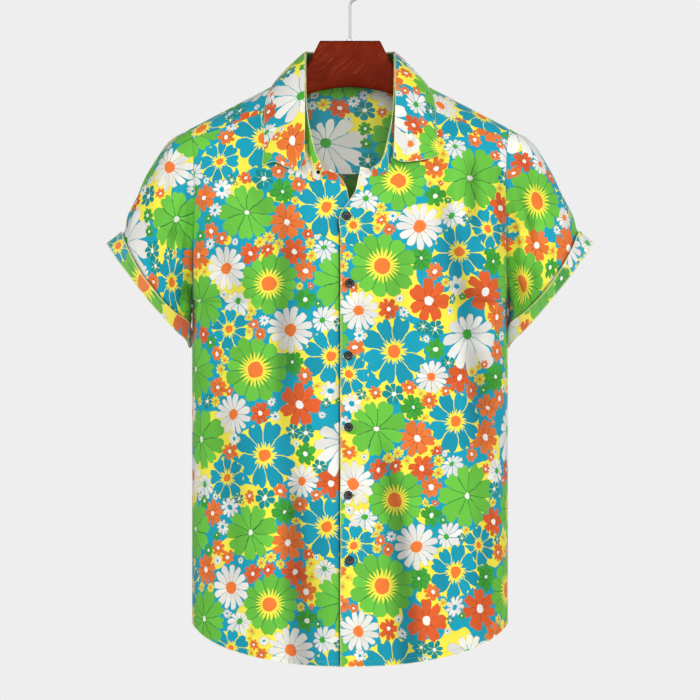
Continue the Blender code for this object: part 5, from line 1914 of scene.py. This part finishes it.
def make_floor():
    """A plain pale floor under the hanging shirt."""
    mesh = bpy.data.meshes.new("floor")
    bm = bmesh.new()
    bmesh.ops.create_circle(bm, cap_ends=True, segments=96, radius=FLOOR_RADIUS)
    bm.to_mesh(mesh)
    bm.free()
    floor = in_scene("floor", mesh)
    floor.location = (0, 0, FLOOR_Z)
    pale = noise_material("floor_pale", 3.0, FLOOR_PALE, Roughness=0.9)
    mesh.materials.append(pale)


def make_world():
    """A plain pale backdrop. It lights the object from in front more than from behind."""
    world = bpy.data.worlds.new("studio")
    bpy.context.scene.world = world
    world.use_nodes = True
    tree = world.node_tree
    back = tree.nodes["Background"]
    back.inputs["Color"].default_value = linear(BACKDROP)
    seen = Term(tree, tree.nodes.new("ShaderNodeLightPath").outputs["Is Camera Ray"])
    _, way, rise = parts_of(tree, add_node(tree, "ShaderNodeTexCoord", output=0))
    soft = way * -AMBIENT_FRONT + rise * AMBIENT_TOP + AMBIENT
    put(tree, back.inputs["Strength"], soft + seen * (1.0 - soft))


def add_light(name, place, size, power):
    light = bpy.data.lights.new(name, "AREA")
    light.shape = "SQUARE"
    light.size = size
    light.energy = power
    lamp = in_scene(name, light)
    lamp.location = place
    lamp.rotation_euler = (LIGHT_AIM - Vector(place)).to_track_quat("-Z", "Y").to_euler()


def make_camera():
    """A level camera far in front, that sees CAMERA_FIELD across at the cloth's depth."""
    camera = bpy.data.cameras.new("camera")
    camera.sensor_width = CAMERA_SENSOR
    camera.lens = CAMERA_SENSOR * (CAMERA_DISTANCE + CAMERA_FIELD_Y) / CAMERA_FIELD
    camera.clip_end = 80.0
    eye = in_scene("camera", camera)
    eye.location = (0.0, -CAMERA_DISTANCE, CAMERA_Z)
    eye.rotation_euler = (math.radians(90), 0, 0)
    bpy.context.scene.camera = eye


def dress_cloth():
    """Makes every piece of cloth and its material. Returns (piece, outer points, ways out)."""
    print_tree = print_group()
    face = cloth_material("print_face", print_tree, 0.0)
    reverse = cloth_material("print_reverse", print_tree, 0.10)
    faded = cloth_material("print_faded", print_tree, 0.05)
    # the yoke's inner face is brightened as painted light, for the inside seen through the neck
    lit_lining = cloth_material("print_lining_painted_light", print_tree, 0.04, 1.14)
    left_front = (1, LEFT_EDGE, LAP, 0.0014, FRONT_LEFT_ORIGIN)
    right_front = (-1, RIGHT_EDGE, 0.0, 0.0, FRONT_RIGHT_ORIGIN)
    left_sleeve = (1, "cloth_front_left", FRONT_LEFT_ORIGIN)
    right_sleeve = (-1, "cloth_front_right", FRONT_RIGHT_ORIGIN)
    pieces = {
        # cloth piece: what makes it, the node it stands for, its outer and inner material
        "cloth_back": (make_back, (BACK_ORIGIN,), "back", face, reverse),
        "cloth_yoke": (make_yoke, (YOKE_ORIGIN,), "yoke", face, lit_lining),
        "cloth_front_left": (make_front, left_front, "front_left", face, reverse),
        "cloth_front_right": (make_front, right_front, "front_right", face, reverse),
        "cloth_sleeve_left": (make_sleeve, left_sleeve, "sleeve_left", face, reverse),
        "cloth_sleeve_right": (make_sleeve, right_sleeve, "sleeve_right", face, reverse),
        "cloth_cuff_left": (make_cuff, (1, CUFF_LEFT_ORIGIN), "cuff_left", faded, reverse),
        "cloth_cuff_right": (make_cuff, (-1, CUFF_RIGHT_ORIGIN), "cuff_right", faded, reverse),
        "cloth_stand": (make_stand, (STAND_ORIGIN,), "collar_stand", face, face),
        "cloth_leaf": (make_leaf, (LEAF_ORIGIN,), "collar_leaf", face, face),
    }
    made = {}
    for name, (make, values, node, outer, inner) in pieces.items():
        made[name] = make(name, *[made.get(value, value) for value in values])
        piece = made[name][0]
        piece.data.materials.append(outer)
        piece.data.materials.append(inner)
        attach(piece, "root")
        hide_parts(node)
    return made


def add_piece(piece, material, node=None):
    piece.data.materials.clear()
    piece.data.materials.append(material)
    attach(piece, "root")
    if node:
        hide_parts(node)


def sew_cloth(made):
    thread = thread_material()
    sewing = sew(made)
    for piece in sewing.values():
        add_piece(piece, thread)
    bound, slit_shadows = [], []
    for x, z, shift in BUTTONS:
        edge, slit = buttonhole_parts(x, z, shift)
        bound += edge
        slit_shadows += slit
    add_piece(mesh_from("buttonholes", bound), thread)
    # the buttonhole gaps are dark tubes, as painted shadow
    dark = noise_material("slit", 1500.0, SLIT_SHADOW, Roughness=0.9)
    add_piece(mesh_from("buttonhole_slit_shadows", slit_shadows), dark)
    return sewing


def add_disc(name, mesh, place, material, node):
    disc = in_scene(name, mesh)
    disc.matrix_world = place
    add_piece(disc, material, node)


def fasten():
    """The buttons and the threads that hold them."""
    plastic, threads = button_material(), []
    mesh = button_mesh("button_disc", BUTTON_RADIUS)
    for number, (x, z, _) in enumerate(BUTTONS, start=1):
        point, _, _, out = on_front(x, z)
        place = button_place(point + out * (LAP + BUTTON_LIFT), out)
        add_disc(f"button_disc_{number}", mesh, place, plastic, f"button_{number}")
        threads += thread_parts(place, BUTTON_RADIUS)
    small = button_mesh("stand_button_disc", STAND_BUTTON_RADIUS)
    seam, top = stand_side("right")
    corners = [point * MIRROR for point in (seam[-2], seam[-1], top[-1], top[-2])]
    out = unit(np.cross(corners[1] - corners[3], corners[0] - corners[2]))
    out = -out if out[1] > 0 else out
    place = button_place(sum(corners) / 4 + out * STAND_BUTTON_LIFT, out)
    add_disc("stand_button_disc", small, place, plastic, "stand_button")
    dark = noise_material("dark_thread", 2400.0, DARK_THREAD, Roughness=0.7)
    add_piece(mesh_from("button_threads", threads), dark)


def hang(frame):
    add_piece(make_hanger("hanger_body"), wood_material(), "hanger_wood")
    steel = noise_material("steel", 1400.0, STEEL, rough=(0.12, 0.22), Metallic=0.55)
    for node in ("hanger_hook", "hanger_ferrule"):
        for place in frame["nodes"][node].material_slots:
            place.material = steel


def main():
    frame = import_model()
    bpy.context.scene.view_settings.view_transform = "Standard"
    make_camera()
    make_floor()
    make_world()
    for light in LIGHTS:
        add_light(*light)

    made = dress_cloth()
    sewing = sew_cloth(made)
    fasten()
    hang(frame)


main()
